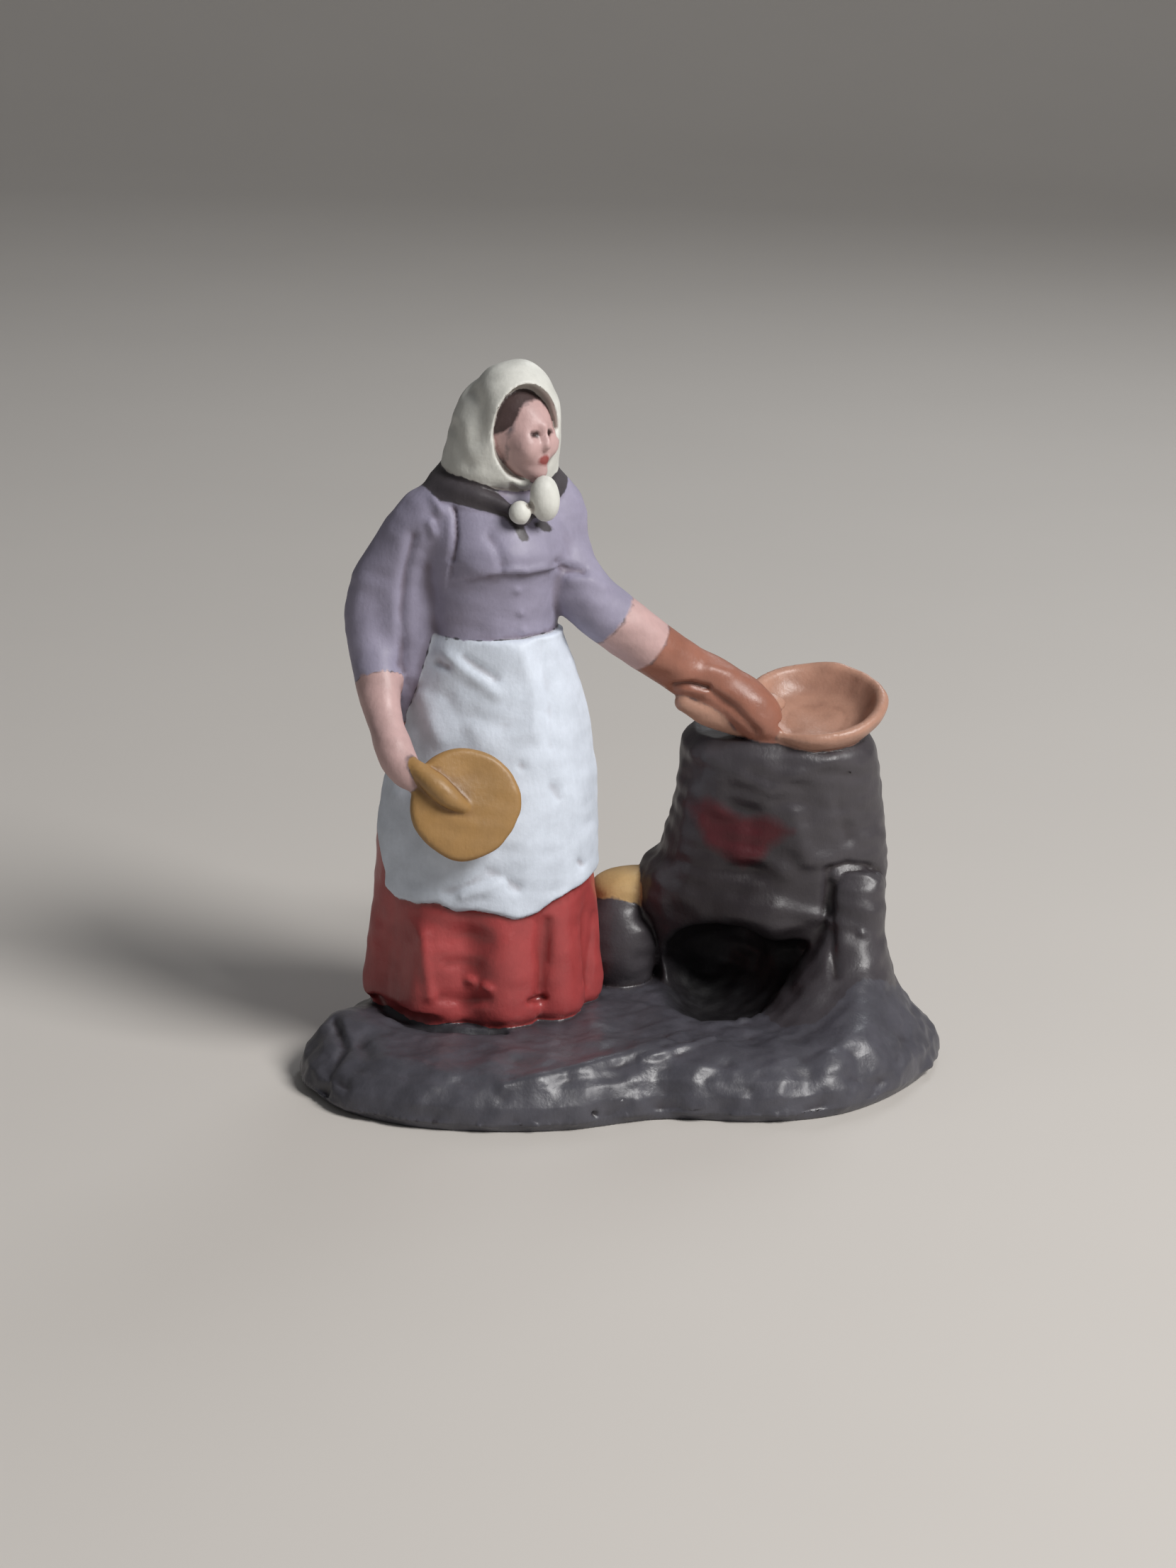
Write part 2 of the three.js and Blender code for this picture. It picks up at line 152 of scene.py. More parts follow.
COLLAR_LEFT = [
    (-11.4, 7.4, 51.8, 1.0), (-15.4, 5.8, 51.5, 1.2), (-17.1, 3.2, 50.8, 1.3), (-16.2, 0.7, 50.5, 1.25),
    (-14.0, -0.7, 50.3, 1.1), (-12.2, -1.2, 49.9, 1.0), (-10.9, -1.6, 49.4, 0.75), (-9.9, -2.0, 48.4, 0.45),
]
COLLAR_RIGHT = [
    (-11.4, 7.4, 51.8, 1.0), (-8.6, 6.8, 51.3, 1.1), (-7.3, 4.6, 50.9, 1.1), (-7.3, 1.8, 50.3, 0.9),
    (-8.2, -0.6, 49.5, 0.7), (-9.3, -1.8, 48.4, 0.5),
]
PAN_HANDLE = [
    (12.0, 7.6, 29.6, 2.0), (9.0, 6.0, 29.8, 1.6), (6.6, 4.9, 30.4, 1.2), (4.6, 4.4, 31.4, 0.8),
]
FAN_HANDLE = [
    (-18.9, -6.2, 28.6, 0.6), (-17.5, -7.2, 27.6, 0.85), (-15.2, -7.8, 26.0, 0.85), (-13.9, -7.6, 25.0, 0.5),
]
# The post's foot, which flares out to the ground's edge
FLARE = [
    (2.0, 18.0, -0.6, 7.0, 8.6), (4.6, 18.0, -0.2, 5.8, 7.2), (5.6, 18.2, 0.6, 4.9, 5.8),
    (7.4, 18.8, 2.0, 3.9, 4.6), (9.6, 19.5, 3.6, 3.1, 3.7), (12, 20.0, 4.8, 2.4, 2.9),
]
# The gap under the skirt's hem
HEM_GAP = [
    (-21.8, 0.6, 5.2, 0.4), (-20.4, -2.6, 5.0, 0.75), (-17.0, -5.7, 4.9, 0.85), (-13.4, -6.7, 4.8, 0.8),
    (-10.2, -6.5, 4.7, 0.4),
]
# How far down each arm, in mm, the sleeve ends, and where the pan arm's dark glove starts
FAN_SLEEVE = 18.0
PAN_SLEEVE = 13.4
PAN_GLOVE = 17.7

# Folds of the skirt: direction in degrees, half width in degrees, and how far they stand out
FOLDS = [
    (-168, 12, 0.3), (-146, 9, -0.45), (-121, 10, 0.75), (-97, 9, -0.75), (-76, 12, 0.5), (-54, 5, -0.7),
    (-40, 9, 0.45), (-19, 6, -0.6), (-4, 8, 0.4), (32, 9, -0.5), (68, 9, -0.5), (108, 9, -0.5), (146, 9, -0.5),
]
# The apron's edge on the skirt: direction in degrees and height
APRON_OUTLINE = [
    (-152, 15.7), (-142, 15.0), (-129, 15.1), (-114, 15.5), (-104, 15.0), (-93, 15.1), (-80, 14.8),
    (-71, 14.4), (-56, 14.6), (-48, 15.5), (-33, 16.1), (-19, 16.5), (6, 16.9), (14, 18.5),
    (15, 25), (12, 31), (8, 38.4), (-16, 38.4), (-60, 38.0), (-119, 38.0), (-148, 38.0),
    (-150, 33.4), (-158, 29.0), (-168, 25.0), (-167, 22.0), (-160, 19.0), (-153, 17.0),
]
APRON_ARC = 0.15  # mm of apron for each degree round the skirt


def smooth_min(a, b, blend):
    """The lower of two distances, with the corner between them filled over a width of clay."""
    if blend <= 0:
        return np.minimum(a, b)
    share = np.maximum(blend - np.abs(a - b), 0) / blend
    return np.minimum(a, b) - share * share * blend / 4


def bump(offset, half_width):
    return np.exp(-((offset / half_width) ** 2))


def smoothstep(value, start, end):
    t = np.clip((value - start) / (end - start), 0, 1)
    return t * t * (3 - 2 * t)


def row_at(keys, rows, key):
    """The row at each key, on a smooth curve through all rows."""
    keys = np.asarray(keys, np.float32)
    rows = np.asarray(rows, np.float32)
    last = len(keys) - 1
    place = np.clip(key, keys[0], keys[-1])
    i = np.clip(np.searchsorted(keys, place, side="right") - 1, 0, last - 1)
    before = np.maximum(i - 1, 0)
    after = np.minimum(i + 2, last)
    step = keys[i + 1] - keys[i]
    t = ((place - keys[i]) / step)[..., None]
    value = rows[i]
    rise = rows[i + 1] - value
    slope_in = (rows[i + 1] - rows[before]) * (step / (keys[i + 1] - keys[before]))[..., None]
    slope_out = (rows[after] - value) * (step / (keys[after] - keys[i]))[..., None]
    return value + t * (slope_in + t * (3 * rise - 2 * slope_in - slope_out + t * (slope_in + slope_out - 2 * rise)))


def turned(x, y, degrees):
    """x and y as they read along axes that are turned by so many degrees."""
    c, s = math.cos(math.radians(degrees)), math.sin(math.radians(degrees))
    return x * c + y * s, y * c - x * s


class Form:
    """One form of clay: the box that it fills, and its distance from any places."""

    def __init__(self, low, high, distance):
        self.low = np.asarray(low, float)
        self.high = np.asarray(high, float)
        self.distance = distance


def stack(rows, turn=0.0, corner=2.0, swell=None):
    """An upright form through its rows. A corner of 2 is round in plan, and a higher one squarer."""
    heights = [row[0] for row in rows]
    sections = [row[1:] for row in rows]
    reach = max(max(row[3], row[4]) for row in rows) + 1.5

    def distance(x, y, z):
        mid_x, mid_y, half_width, half_depth = np.moveaxis(row_at(heights, sections, z), -1, 0)
        across, deep = turned(x - mid_x, y - mid_y, turn)
        if swell is not None:
            extra = swell(np.degrees(np.arctan2(deep, across)), z)
            half_width, half_depth = half_width + extra, half_depth + extra
        a, b = np.abs(across) / half_width, np.abs(deep) / half_depth
        share = np.maximum((a**corner + b**corner) ** (1 / corner), 0.05)
        slope = np.hypot(a ** (corner - 1) / half_width, b ** (corner - 1) / half_depth) * share ** (1 - corner)
        side = (share - 1) / np.maximum(slope, 0.02)
        ends = np.maximum(heights[0] - z, z - heights[-1])
        return np.maximum(side, ends)

    low = [min(row[1] for row in rows) - reach, min(row[2] for row in rows) - reach, heights[0]]
    high = [max(row[1] for row in rows) + reach, max(row[2] for row in rows) + reach, heights[-1]]
    return Form(low, high, distance)


def chain_of(rows, fine=4):
    """A limb's rows with more places between them, and how far along each place is."""
    steps = np.linspace(0, len(rows) - 1, (len(rows) - 1) * fine + 1)
    chain = row_at(np.arange(len(rows)), rows, steps)
    lengths = np.linalg.norm(np.diff(chain[:, :3], axis=0), axis=1)
    return chain, np.concatenate([[0], np.cumsum(lengths)])


def limb(rows, start=None, end=None):
    """A round limb along its rows. Beyond start and end, in mm along it, the distance grows as fast."""
    chain, places = chain_of(rows)

    def distance(x, y, z):
        best = along = None
        for a, b, place in zip(chain[:-1], chain[1:], places):
            axis = b[:3] - a[:3]
            length = float(axis @ axis) ** 0.5
            t = ((x - a[0]) * axis[0] + (y - a[1]) * axis[1] + (z - a[2]) * axis[2]) / length**2
            t = np.clip(t, 0, 1)
            away = (x - a[0] - t * axis[0]) ** 2 + (y - a[1] - t * axis[1]) ** 2 + (z - a[2] - t * axis[2]) ** 2
            gap = np.sqrt(away) - (a[3] + t * (b[3] - a[3]))
            at = place + t * length
            if best is None:
                best, along = gap, at
            else:
                along = np.where(gap < best, at, along)
                best = np.minimum(gap, best)
        if start is not None:
            best = best + np.maximum(start - along, 0)
        if end is not None:
            best = best + np.maximum(along - end, 0)
        return best

    radius = chain[:, 3:]
    return Form((chain[:, :3] - radius).min(0), (chain[:, :3] + radius).max(0), distance)


def lump(at, radii, tip=0.0, turn=0.0):
    """An egg-shaped lump, tipped about X and then turned about Z."""
    reach = max(radii)

    def distance(x, y, z):
        across, deep = turned(x - at[0], y - at[1], turn)
        deep, up = turned(deep, z - at[2], tip)
        a, b, c = across / radii[0], deep / radii[1], up / radii[2]
        share = np.sqrt(a * a + b * b + c * c)
        slope = np.sqrt((a / radii[0]) ** 2 + (b / radii[1]) ** 2 + (c / radii[2]) ** 2)
        return share * (share - 1) / np.maximum(slope, 0.02)

    return Form(np.subtract(at, reach), np.add(at, reach), distance)


def on_pan(form):
    """A form of the pan's own upright rows, leaned and dipped as the pan is."""
    reach = PAN["radius"] + 1.5
    at = PAN["at"]

    def distance(x, y, z):
        deep, up = turned(y - at[1], z - at[2], PAN["lean"])
        up, across = turned(up, x - at[0], -PAN["dip"])
        return form.distance(across, deep, up)

    return Form(np.subtract(at, reach), np.add(at, reach), distance)


def fan_disc():
    """The straw fan: a round plate, a little domed, with an uneven rim."""
    at, radius, rounding = FAN["at"], FAN["radius"], 0.45

    def distance(x, y, z):
        across, deep = turned(x - at[0], y - at[1], FAN["turn"])
        up, out = turned(deep, z - at[2], 90 - FAN["lean"])
        reach = np.hypot(across, up)
        angle = np.arctan2(up, across)
        rim = radius * (1 + 0.012 * np.sin(3 * angle + 0.6) + 0.009 * np.sin(7 * angle + 2.0))
        half = FAN["thick"] / 2 + 0.3 * np.clip(1 - reach / radius, 0, 1)
        a, b = reach - rim + rounding, np.abs(out) - half + rounding
        return np.hypot(np.maximum(a, 0), np.maximum(b, 0)) + np.minimum(np.maximum(a, b), 0) - rounding

    return Form(np.subtract(at, radius + 1), np.add(at, radius + 1), distance)


def outline_distance(x, y, outline):
    """Distance from a closed outline, less than zero inside it."""
    points = np.asarray(outline, np.float32)
    nearest = None
    inside = np.zeros(np.broadcast(x, y).shape, bool)
    for a, b in zip(points, np.roll(points, -1, axis=0)):
        edge = b - a
        t = np.clip(((x - a[0]) * edge[0] + (y - a[1]) * edge[1]) / float(edge @ edge), 0, 1)
        away = (x - a[0] - t * edge[0]) ** 2 + (y - a[1] - t * edge[1]) ** 2
        nearest = away if nearest is None else np.minimum(nearest, away)
        if a[1] != b[1]:
            crosses = (y < a[1]) != (y < b[1])
            inside ^= crosses & (x < a[0] + (y - a[1]) * edge[0] / edge[1])
    return np.where(inside, -1, 1) * np.sqrt(nearest)


def slab_reach():
    """The slab's outline as its reach in each direction, on a curve through its points."""
    points = np.array(SLAB_OUTLINE, float)
    before, after, beyond = (np.roll(points, k, axis=0) for k in (1, -1, -2))
    gap = np.linalg.norm(after - points, axis=1)[:, None] ** 0.5
    gap_before, gap_after = np.roll(gap, 1, axis=0), np.roll(gap, -1, axis=0)
    rise = after - points
    leaving = (points - before) / gap_before - (after - before) / (gap_before + gap) + rise / gap
    arriving = rise / gap - (beyond - points) / (gap + gap_after) + (beyond - after) / gap_after
    leaving, arriving = leaving * gap, arriving * gap
    t = np.linspace(0, 1, 12, endpoint=False)[:, None, None]
    places = points + t * (leaving + t * (3 * rise - 2 * leaving - arriving + t * (leaving + arriving - 2 * rise)))
    places = places.reshape(-1, 2)
    return np.arctan2(places[:, 1], places[:, 0]), np.hypot(places[:, 0], places[:, 1])


def slab():
    """The ground slab: a rounded rim all round, and mounds on its top."""
    angles, reaches = slab_reach()
    ring_heights = [height for height, _ in SLAB_RINGS]
    ring_shares = [share for _, share in SLAB_RINGS]

    def distance(x, y, z):
        reach = np.interp(np.arctan2(y, x), angles, reaches, period=2 * math.pi)
        share = np.hypot(x, y) / reach
        rise = sum(lift * bump(x - at_x, wide) * bump(y - at_y, deep) for at_x, at_y, wide, deep, lift in MOUNDS)
        scale = 1 + rise / GROUND
        top = np.interp(share, ring_shares[:0:-1], ring_heights[:0:-1]) * scale
        above = z - top
        beyond = (share - np.interp(z / scale, ring_heights, ring_shares)) * reach
        beyond = np.where(z > GROUND * scale, FAR, beyond)
        slanted = np.abs(above * beyond) / np.sqrt(above**2 + beyond**2 + 1e-6)
        outside = (above > 0) | (beyond > 0)
        rim = np.where(outside, 1, -1) * slanted
        rim = np.where(z < 0.8, beyond, rim)
        return np.maximum(rim, -z)

    low = [-max(reaches), -max(reaches), 0]
    high = [max(reaches), max(reaches), GROUND + 5]
    return Form(low, high, distance)


def skirt_folds(direction, height):
    low = 1 - smoothstep(height, 11, 17)
    return low * sum(out * bump(direction - at, half) for at, half, out in FOLDS)


def apron(skirt):
    """The apron: cloth of an even thickness over the skirt, inside its outline."""
    thick = APRON_THICK

    def distance(x, y, z):
        direction = np.degrees(np.arctan2(y - SKIRT_AXIS[1], x - SKIRT_AXIS[0]))
        direction = np.where(direction > 106, direction - 360, direction)
        outline = [(at * APRON_ARC, height) for at, height in APRON_OUTLINE]
        edge = outline_distance(direction * APRON_ARC, z, outline)
        over = skirt.distance(x, y, z) - thick
        return -smooth_min(-over, -edge, 0.5)

    return Form(skirt.low, skirt.high, distance)


def without(form, hole):
    """A form with a hole taken out of it."""
    return Form(form.low, form.high, lambda x, y, z: np.maximum(form.distance(x, y, z), -hole.distance(x, y, z)))


class Clay:
    """The block of clay on its grid, and the forms that each paint covers."""

    def __init__(self, low, high, pitch):
        self.axes = [np.arange(a, b + pitch, pitch, dtype=np.float32) for a, b in zip(low, high)]
        self.field = np.full([len(axis) for axis in self.axes], FAR, np.float32)
        self.pitch = pitch
        self.painted = {}
        self.dabs = []

    def block(self, form, margin):
        """The grid cells that a form reaches, and their places."""
        cells = []
        for axis, a, b in zip(self.axes, form.low - margin, form.high + margin):
            cells.append(slice(*np.searchsorted(axis, (a, b))))
        x, y, z = (axis[cut] for axis, cut in zip(self.axes, cells))
        return tuple(cells), (x[:, None, None], y[None, :, None], z[None, None, :])

    def add(self, form, blend=0.0, paint=None):
        cells, places = self.block(form, blend + 1.0)
        self.field[cells] = smooth_min(self.field[cells], form.distance(*places), blend)
        if paint:
            self.coat(paint, form)

    def cut(self, form, blend=0.0):
        cells, places = self.block(form, blend + 1.0)
        self.field[cells] = -smooth_min(-self.field[cells], form.distance(*places), blend)

    def coat(self, paint, form):
        self.painted.setdefault(paint, []).append(form)

    def dab(self, paint, form):
        """A dab of paint over the coats, wherever it is inside a form."""
        self.dabs.append((paint, form))


def make_ground(clay):
    clay.add(slab(), 0, "ground")


def make_stove(clay):
    """The rough stove with its fire hole, the post beside it, and the pot between it and the skirt."""
    clay.add(stack(STOVE, corner=2.3), 1.2, "stove")
    clay.add(lump((5.2, 7.4, 13.6), (3.4, 3.6, 3.6)), 1.0, "stove")
    clay.cut(lump((7.4, 0.9, 20.8), (5.4, 2.9, 4.6), turn=6), 0.9)
    clay.cut(lump((10.0, 1.6, 16.6), (3.6, 2.0, 1.3), turn=4), 0.5)
    clay.add(lump((11.8, 5.0, 12.8), (6.6, 3.1, 2.7), tip=12, turn=-4), 0.5, "stove")
    clay.cut(lump((8.7, 3.4, 7.2), (5.8, 6.8, 4.4)), 0.6)
    clay.cut(lump((14.2, 3.4, 8.0), (4.2, 4.2, 2.4)), 0.8)
    clay.add(stack(PILLAR, corner=2.4), 0.25, "stove")
    clay.add(stack(FLARE), 0.9, "stove")
    clay.add(lump((-0.4, 8.4, 8.0), (3.7, 4.1, 5.2)), 0.3, "stove")
    clay.add(lump((0.3, 9.4, 12.4), (3.4, 3.1, 2.2), tip=-6), 0.2, "heap")
    # Painted shade: near-black paint laid inside the fire hole, where the recess lies in shade
    clay.dab("soot", lump((9.0, 3.8, 7.0), (5.8, 6.6, 5.4)))
    clay.dab("soot", lump((13.4, 4.6, 7.8), (3.4, 4.4, 3.2)))
    # Painted shade: darker paint laid over the stove round the fire hole and under its ledge, where shade falls
    clay.dab("smoke", lump((8.6, 3.6, 14.0), (6.4, 4.0, 7.5)))
    clay.dab("smoke", lump((15.0, 2.6, 9.4), (3.4, 5.0, 3.6)))


def make_dress(clay):
    """Skirt, apron and blouse, with the clay that fills the gap to the arm at her side."""
    skirt = stack(SKIRT, swell=skirt_folds)
    clay.add(skirt, 0.15, "skirt")
    clay.cut(limb(HEM_GAP), 0.25)
    # Painted shade: near-black paint laid in the gap under the hem
    clay.dab("soot", limb([(x, y, z - 0.2, r - 0.1) for x, y, z, r in HEM_GAP]))
    clay.add(apron(skirt), 0.1, "apron")

    def chest(direction, height):
        return 1.0 * bump(direction + 90, 52) * bump(height - 45.2, 2.6)

    clay.add(stack(BODICE, BODY_TURN, swell=chest), 0.2, "blouse")
    clay.add(lump((-18.5, 1.5, 39.4), (3.4, 1.8, 9.8), turn=BODY_TURN), 0.8, "blouse")


def on_face(side, forward, up):
    """A place on the head, from the middle of the face: to her left, forward and up."""
    turn = math.radians(FACE_TURN)
    ahead = np.array([math.sin(turn), -math.cos(turn), 0])
    aside = np.array([math.cos(turn), math.sin(turn), 0])
    return FACE + aside * side + ahead * forward + np.array([0, 0, up])


def make_head(clay):
    """The headscarf, opened for the face, knotted under the chin, with its tail at the back."""
    turn = BODY_TURN
    opening = lump(OPENING["at"], OPENING["radii"], -4, OPENING["turn"])
    clay.add(lump((-13.6, 7.5, 49.6), (3.4, 1.4, 4.2), -8, turn), 0.3, "scarf")
    for form in (stack(SCARF, turn), lump(CAP["at"], CAP["radii"], 0, turn)):
        clay.add(form, 0.3)
        clay.coat("scarf", without(form, opening))
    clay.cut(opening, 0.3)
    clay.add(lump((-10.5, 1.6, 55.6), (2.9, 2.6, 3.6), 0, turn), 0.15, "hair")
    make_face(clay)
    for side in (COLLAR_LEFT, COLLAR_RIGHT):
        clay.add(limb([(x, y, z, 0.55 * r) for x, y, z, r in side]), 0.9)
        clay.coat("collar", limb(side))
    clay.add(lump((-9.9, -2.1, 49.2), (1.0, 0.9, 1.0)), 0.2, "scarf")
    clay.add(lump((-7.9, -1.6, 50.3), (1.3, 1.1, 1.95), 0, turn), 0.2, "scarf")


def make_face(clay):
    """A plain little face: brow, nose, cheeks and chin, with two dabs for eyes and one for the mouth."""
    clay.add(lump(FACE, (2.45, 2.5, 3.6), -4, FACE_TURN), 0.15, "skin")
    nose = [(*on_face(0, 2.35, 1.1), 0.3), (*on_face(0, 2.7, 0.2), 0.36), (*on_face(0, 2.85, -0.4), 0.42)]
    clay.add(limb(nose), 0.5, "skin")
    clay.add(lump(on_face(0, 2.15, -1.75), (0.7, 0.6, 0.42), 0, FACE_TURN), 0.4, "skin")
    clay.add(lump(on_face(0, 1.6, -2.8), (0.9, 0.9, 0.8), 0, FACE_TURN), 0.8, "skin")
    clay.dab("lips", lump(on_face(0, 2.4, -1.75), (0.65, 1.0, 0.4), 0, FACE_TURN))
    for side in (-1, 1):
        clay.add(lump(on_face(1.15 * side, 1.7, -0.7), (0.9, 0.8, 1.0), 0, FACE_TURN), 0.8, "skin")
        clay.cut(lump(on_face(0.95 * side, 3.0, 0.55), (0.75, 0.85, 0.5), 0, FACE_TURN), 0.5)
        clay.dab("eye", lump(on_face(0.9 * side, 2.2, 0.5), (0.5, 1.3, 0.28), 0, FACE_TURN))


def make_arms(clay):
    """Her right arm down to the fan's handle, and her left arm across to the pan."""
    clay.add(limb(FAN_ARM), 0.9)
    clay.coat("blouse", limb(FAN_ARM, end=FAN_SLEEVE))
    clay.coat("skin", limb(FAN_ARM, start=FAN_SLEEVE))
    clay.add(limb(PAN_ARM), 0.7)
    clay.coat("blouse", limb(PAN_ARM, end=PAN_SLEEVE))
    clay.coat("skin", limb(PAN_ARM, start=PAN_SLEEVE, end=PAN_GLOVE))
    clay.coat("mitt", limb(PAN_ARM, start=PAN_GLOVE))


def make_fan(clay):
    clay.add(lump((-13.2, -4.8, 25.0), (3.4, 1.6, 3.2)), 0.4, "apron")
    clay.add(fan_disc(), 0.15, "fan")
    clay.add(limb(FAN_HANDLE), 0.25, "fan")


def make_pan(clay):
    clay.add(on_pan(stack(PAN_OUTSIDE)), 0.3, "pan")
    clay.add(limb(PAN_HANDLE), 0.4, "pan")
    clay.cut(on_pan(stack(PAN_INSIDE)), 0.5)


def surface_of(clay):
    """The clay's surface as places and four-sided faces: one place in each cell that it crosses."""
    field = clay.field
    inside = field < 0
    corners = [
        (i, j, k) for i in (0, 1) for j in (0, 1) for k in (0, 1)
    ]
    size = np.array(field.shape) - 1

    def at(values, corner):
        return values[tuple(slice(c, c + n) for c, n in zip(corner, size))]

    count = sum(at(inside, corner).astype(np.int8) for corner in corners)
    crossed = np.argwhere((count > 0) & (count < 8))
    number = np.full(size, -1, np.int32)
    number[tuple(crossed.T)] = np.arange(len(crossed))
    values = {corner: field[tuple((crossed + corner).T)] for corner in corners}
    total = np.zeros((len(crossed), 3), np.float32)
    hits = np.zeros(len(crossed), np.float32)
    for start in corners:
        for axis in range(3):
            if start[axis]:
                continue
            end = tuple(c + (k == axis) for k, c in enumerate(start))
            a, b = values[start], values[end]
            cuts = (a < 0) != (b < 0)
            share = np.where(cuts, a / np.where(cuts, a - b, 1), 0)
            place = np.tile(np.array(start, np.float32), (len(crossed), 1))
            place[:, axis] += share
            total += place * cuts[:, None]
            hits += cuts
    places = (crossed + total / hits[:, None]) * clay.pitch + [axis[0] for axis in clay.axes]
    faces = []
    for axis in range(3):
        near = [slice(None)] * 3
        near[axis] = slice(0, -1)
        far = [slice(None)] * 3
        far[axis] = slice(1, None)
        first, second = inside[tuple(near)], inside[tuple(far)]
        b, c = (axis + 1) % 3, (axis + 2) % 3
        for entering in (False, True):
            edges = np.argwhere((first != second) & (first == entering))
            edges = edges[(edges[:, b] > 0) & (edges[:, c] > 0)]
            around = []
            for step_b, step_c in ((0, 0), (1, 0), (1, 1), (0, 1)):
                cell = edges.copy()
                cell[:, b] -= step_b
                cell[:, c] -= step_c
                around.append(number[tuple(cell.T)])
            quads = np.stack(around, axis=1)
            faces.append(quads if entering else quads[:, ::-1])
    return places.astype(np.float32), np.concatenate(faces)


def normals_of(places, faces):
    """The direction that the surface faces at each place."""
    diagonals = places[faces[:, 2]] - places[faces[:, 0]], places[faces[:, 3 % faces.shape[1]]] - places[faces[:, 1]]
    across = np.cross(*diagonals)
    total = np.zeros_like(places)
    for column in range(faces.shape[1]):
        for k in range(3):
            total[:, k] += np.bincount(faces[:, column], across[:, k], len(places))
    return total / np.maximum(np.linalg.norm(total, axis=1, keepdims=True), 1e-9)


def camera_axes():
    """The camera's right, up and forward directions."""
    level = np.array([1.0, 0, 0])
    tilted = np.array([0, math.sin(PITCH), math.cos(PITCH)])
    right = level * math.cos(ROLL) + tilted * math.sin(ROLL)
    up = tilted * math.cos(ROLL) - level * math.sin(ROLL)
    return right, up, np.array([0, math.cos(PITCH), -math.sin(PITCH)])


def front_drawing(places):
    """Places on the front drawing: mm across and up from the middle of the base, as the camera sees them."""
    right, up, forward = camera_axes()

    def drawn(points):
        seen = points - EYE
        depth = seen @ forward
        return np.stack([seen @ right / depth, seen @ up / depth], axis=-1) * DRAWING_DISTANCE

    middle = drawn(np.array([*CAST_MIDDLE, 0.0]))
    return drawn(places) - middle


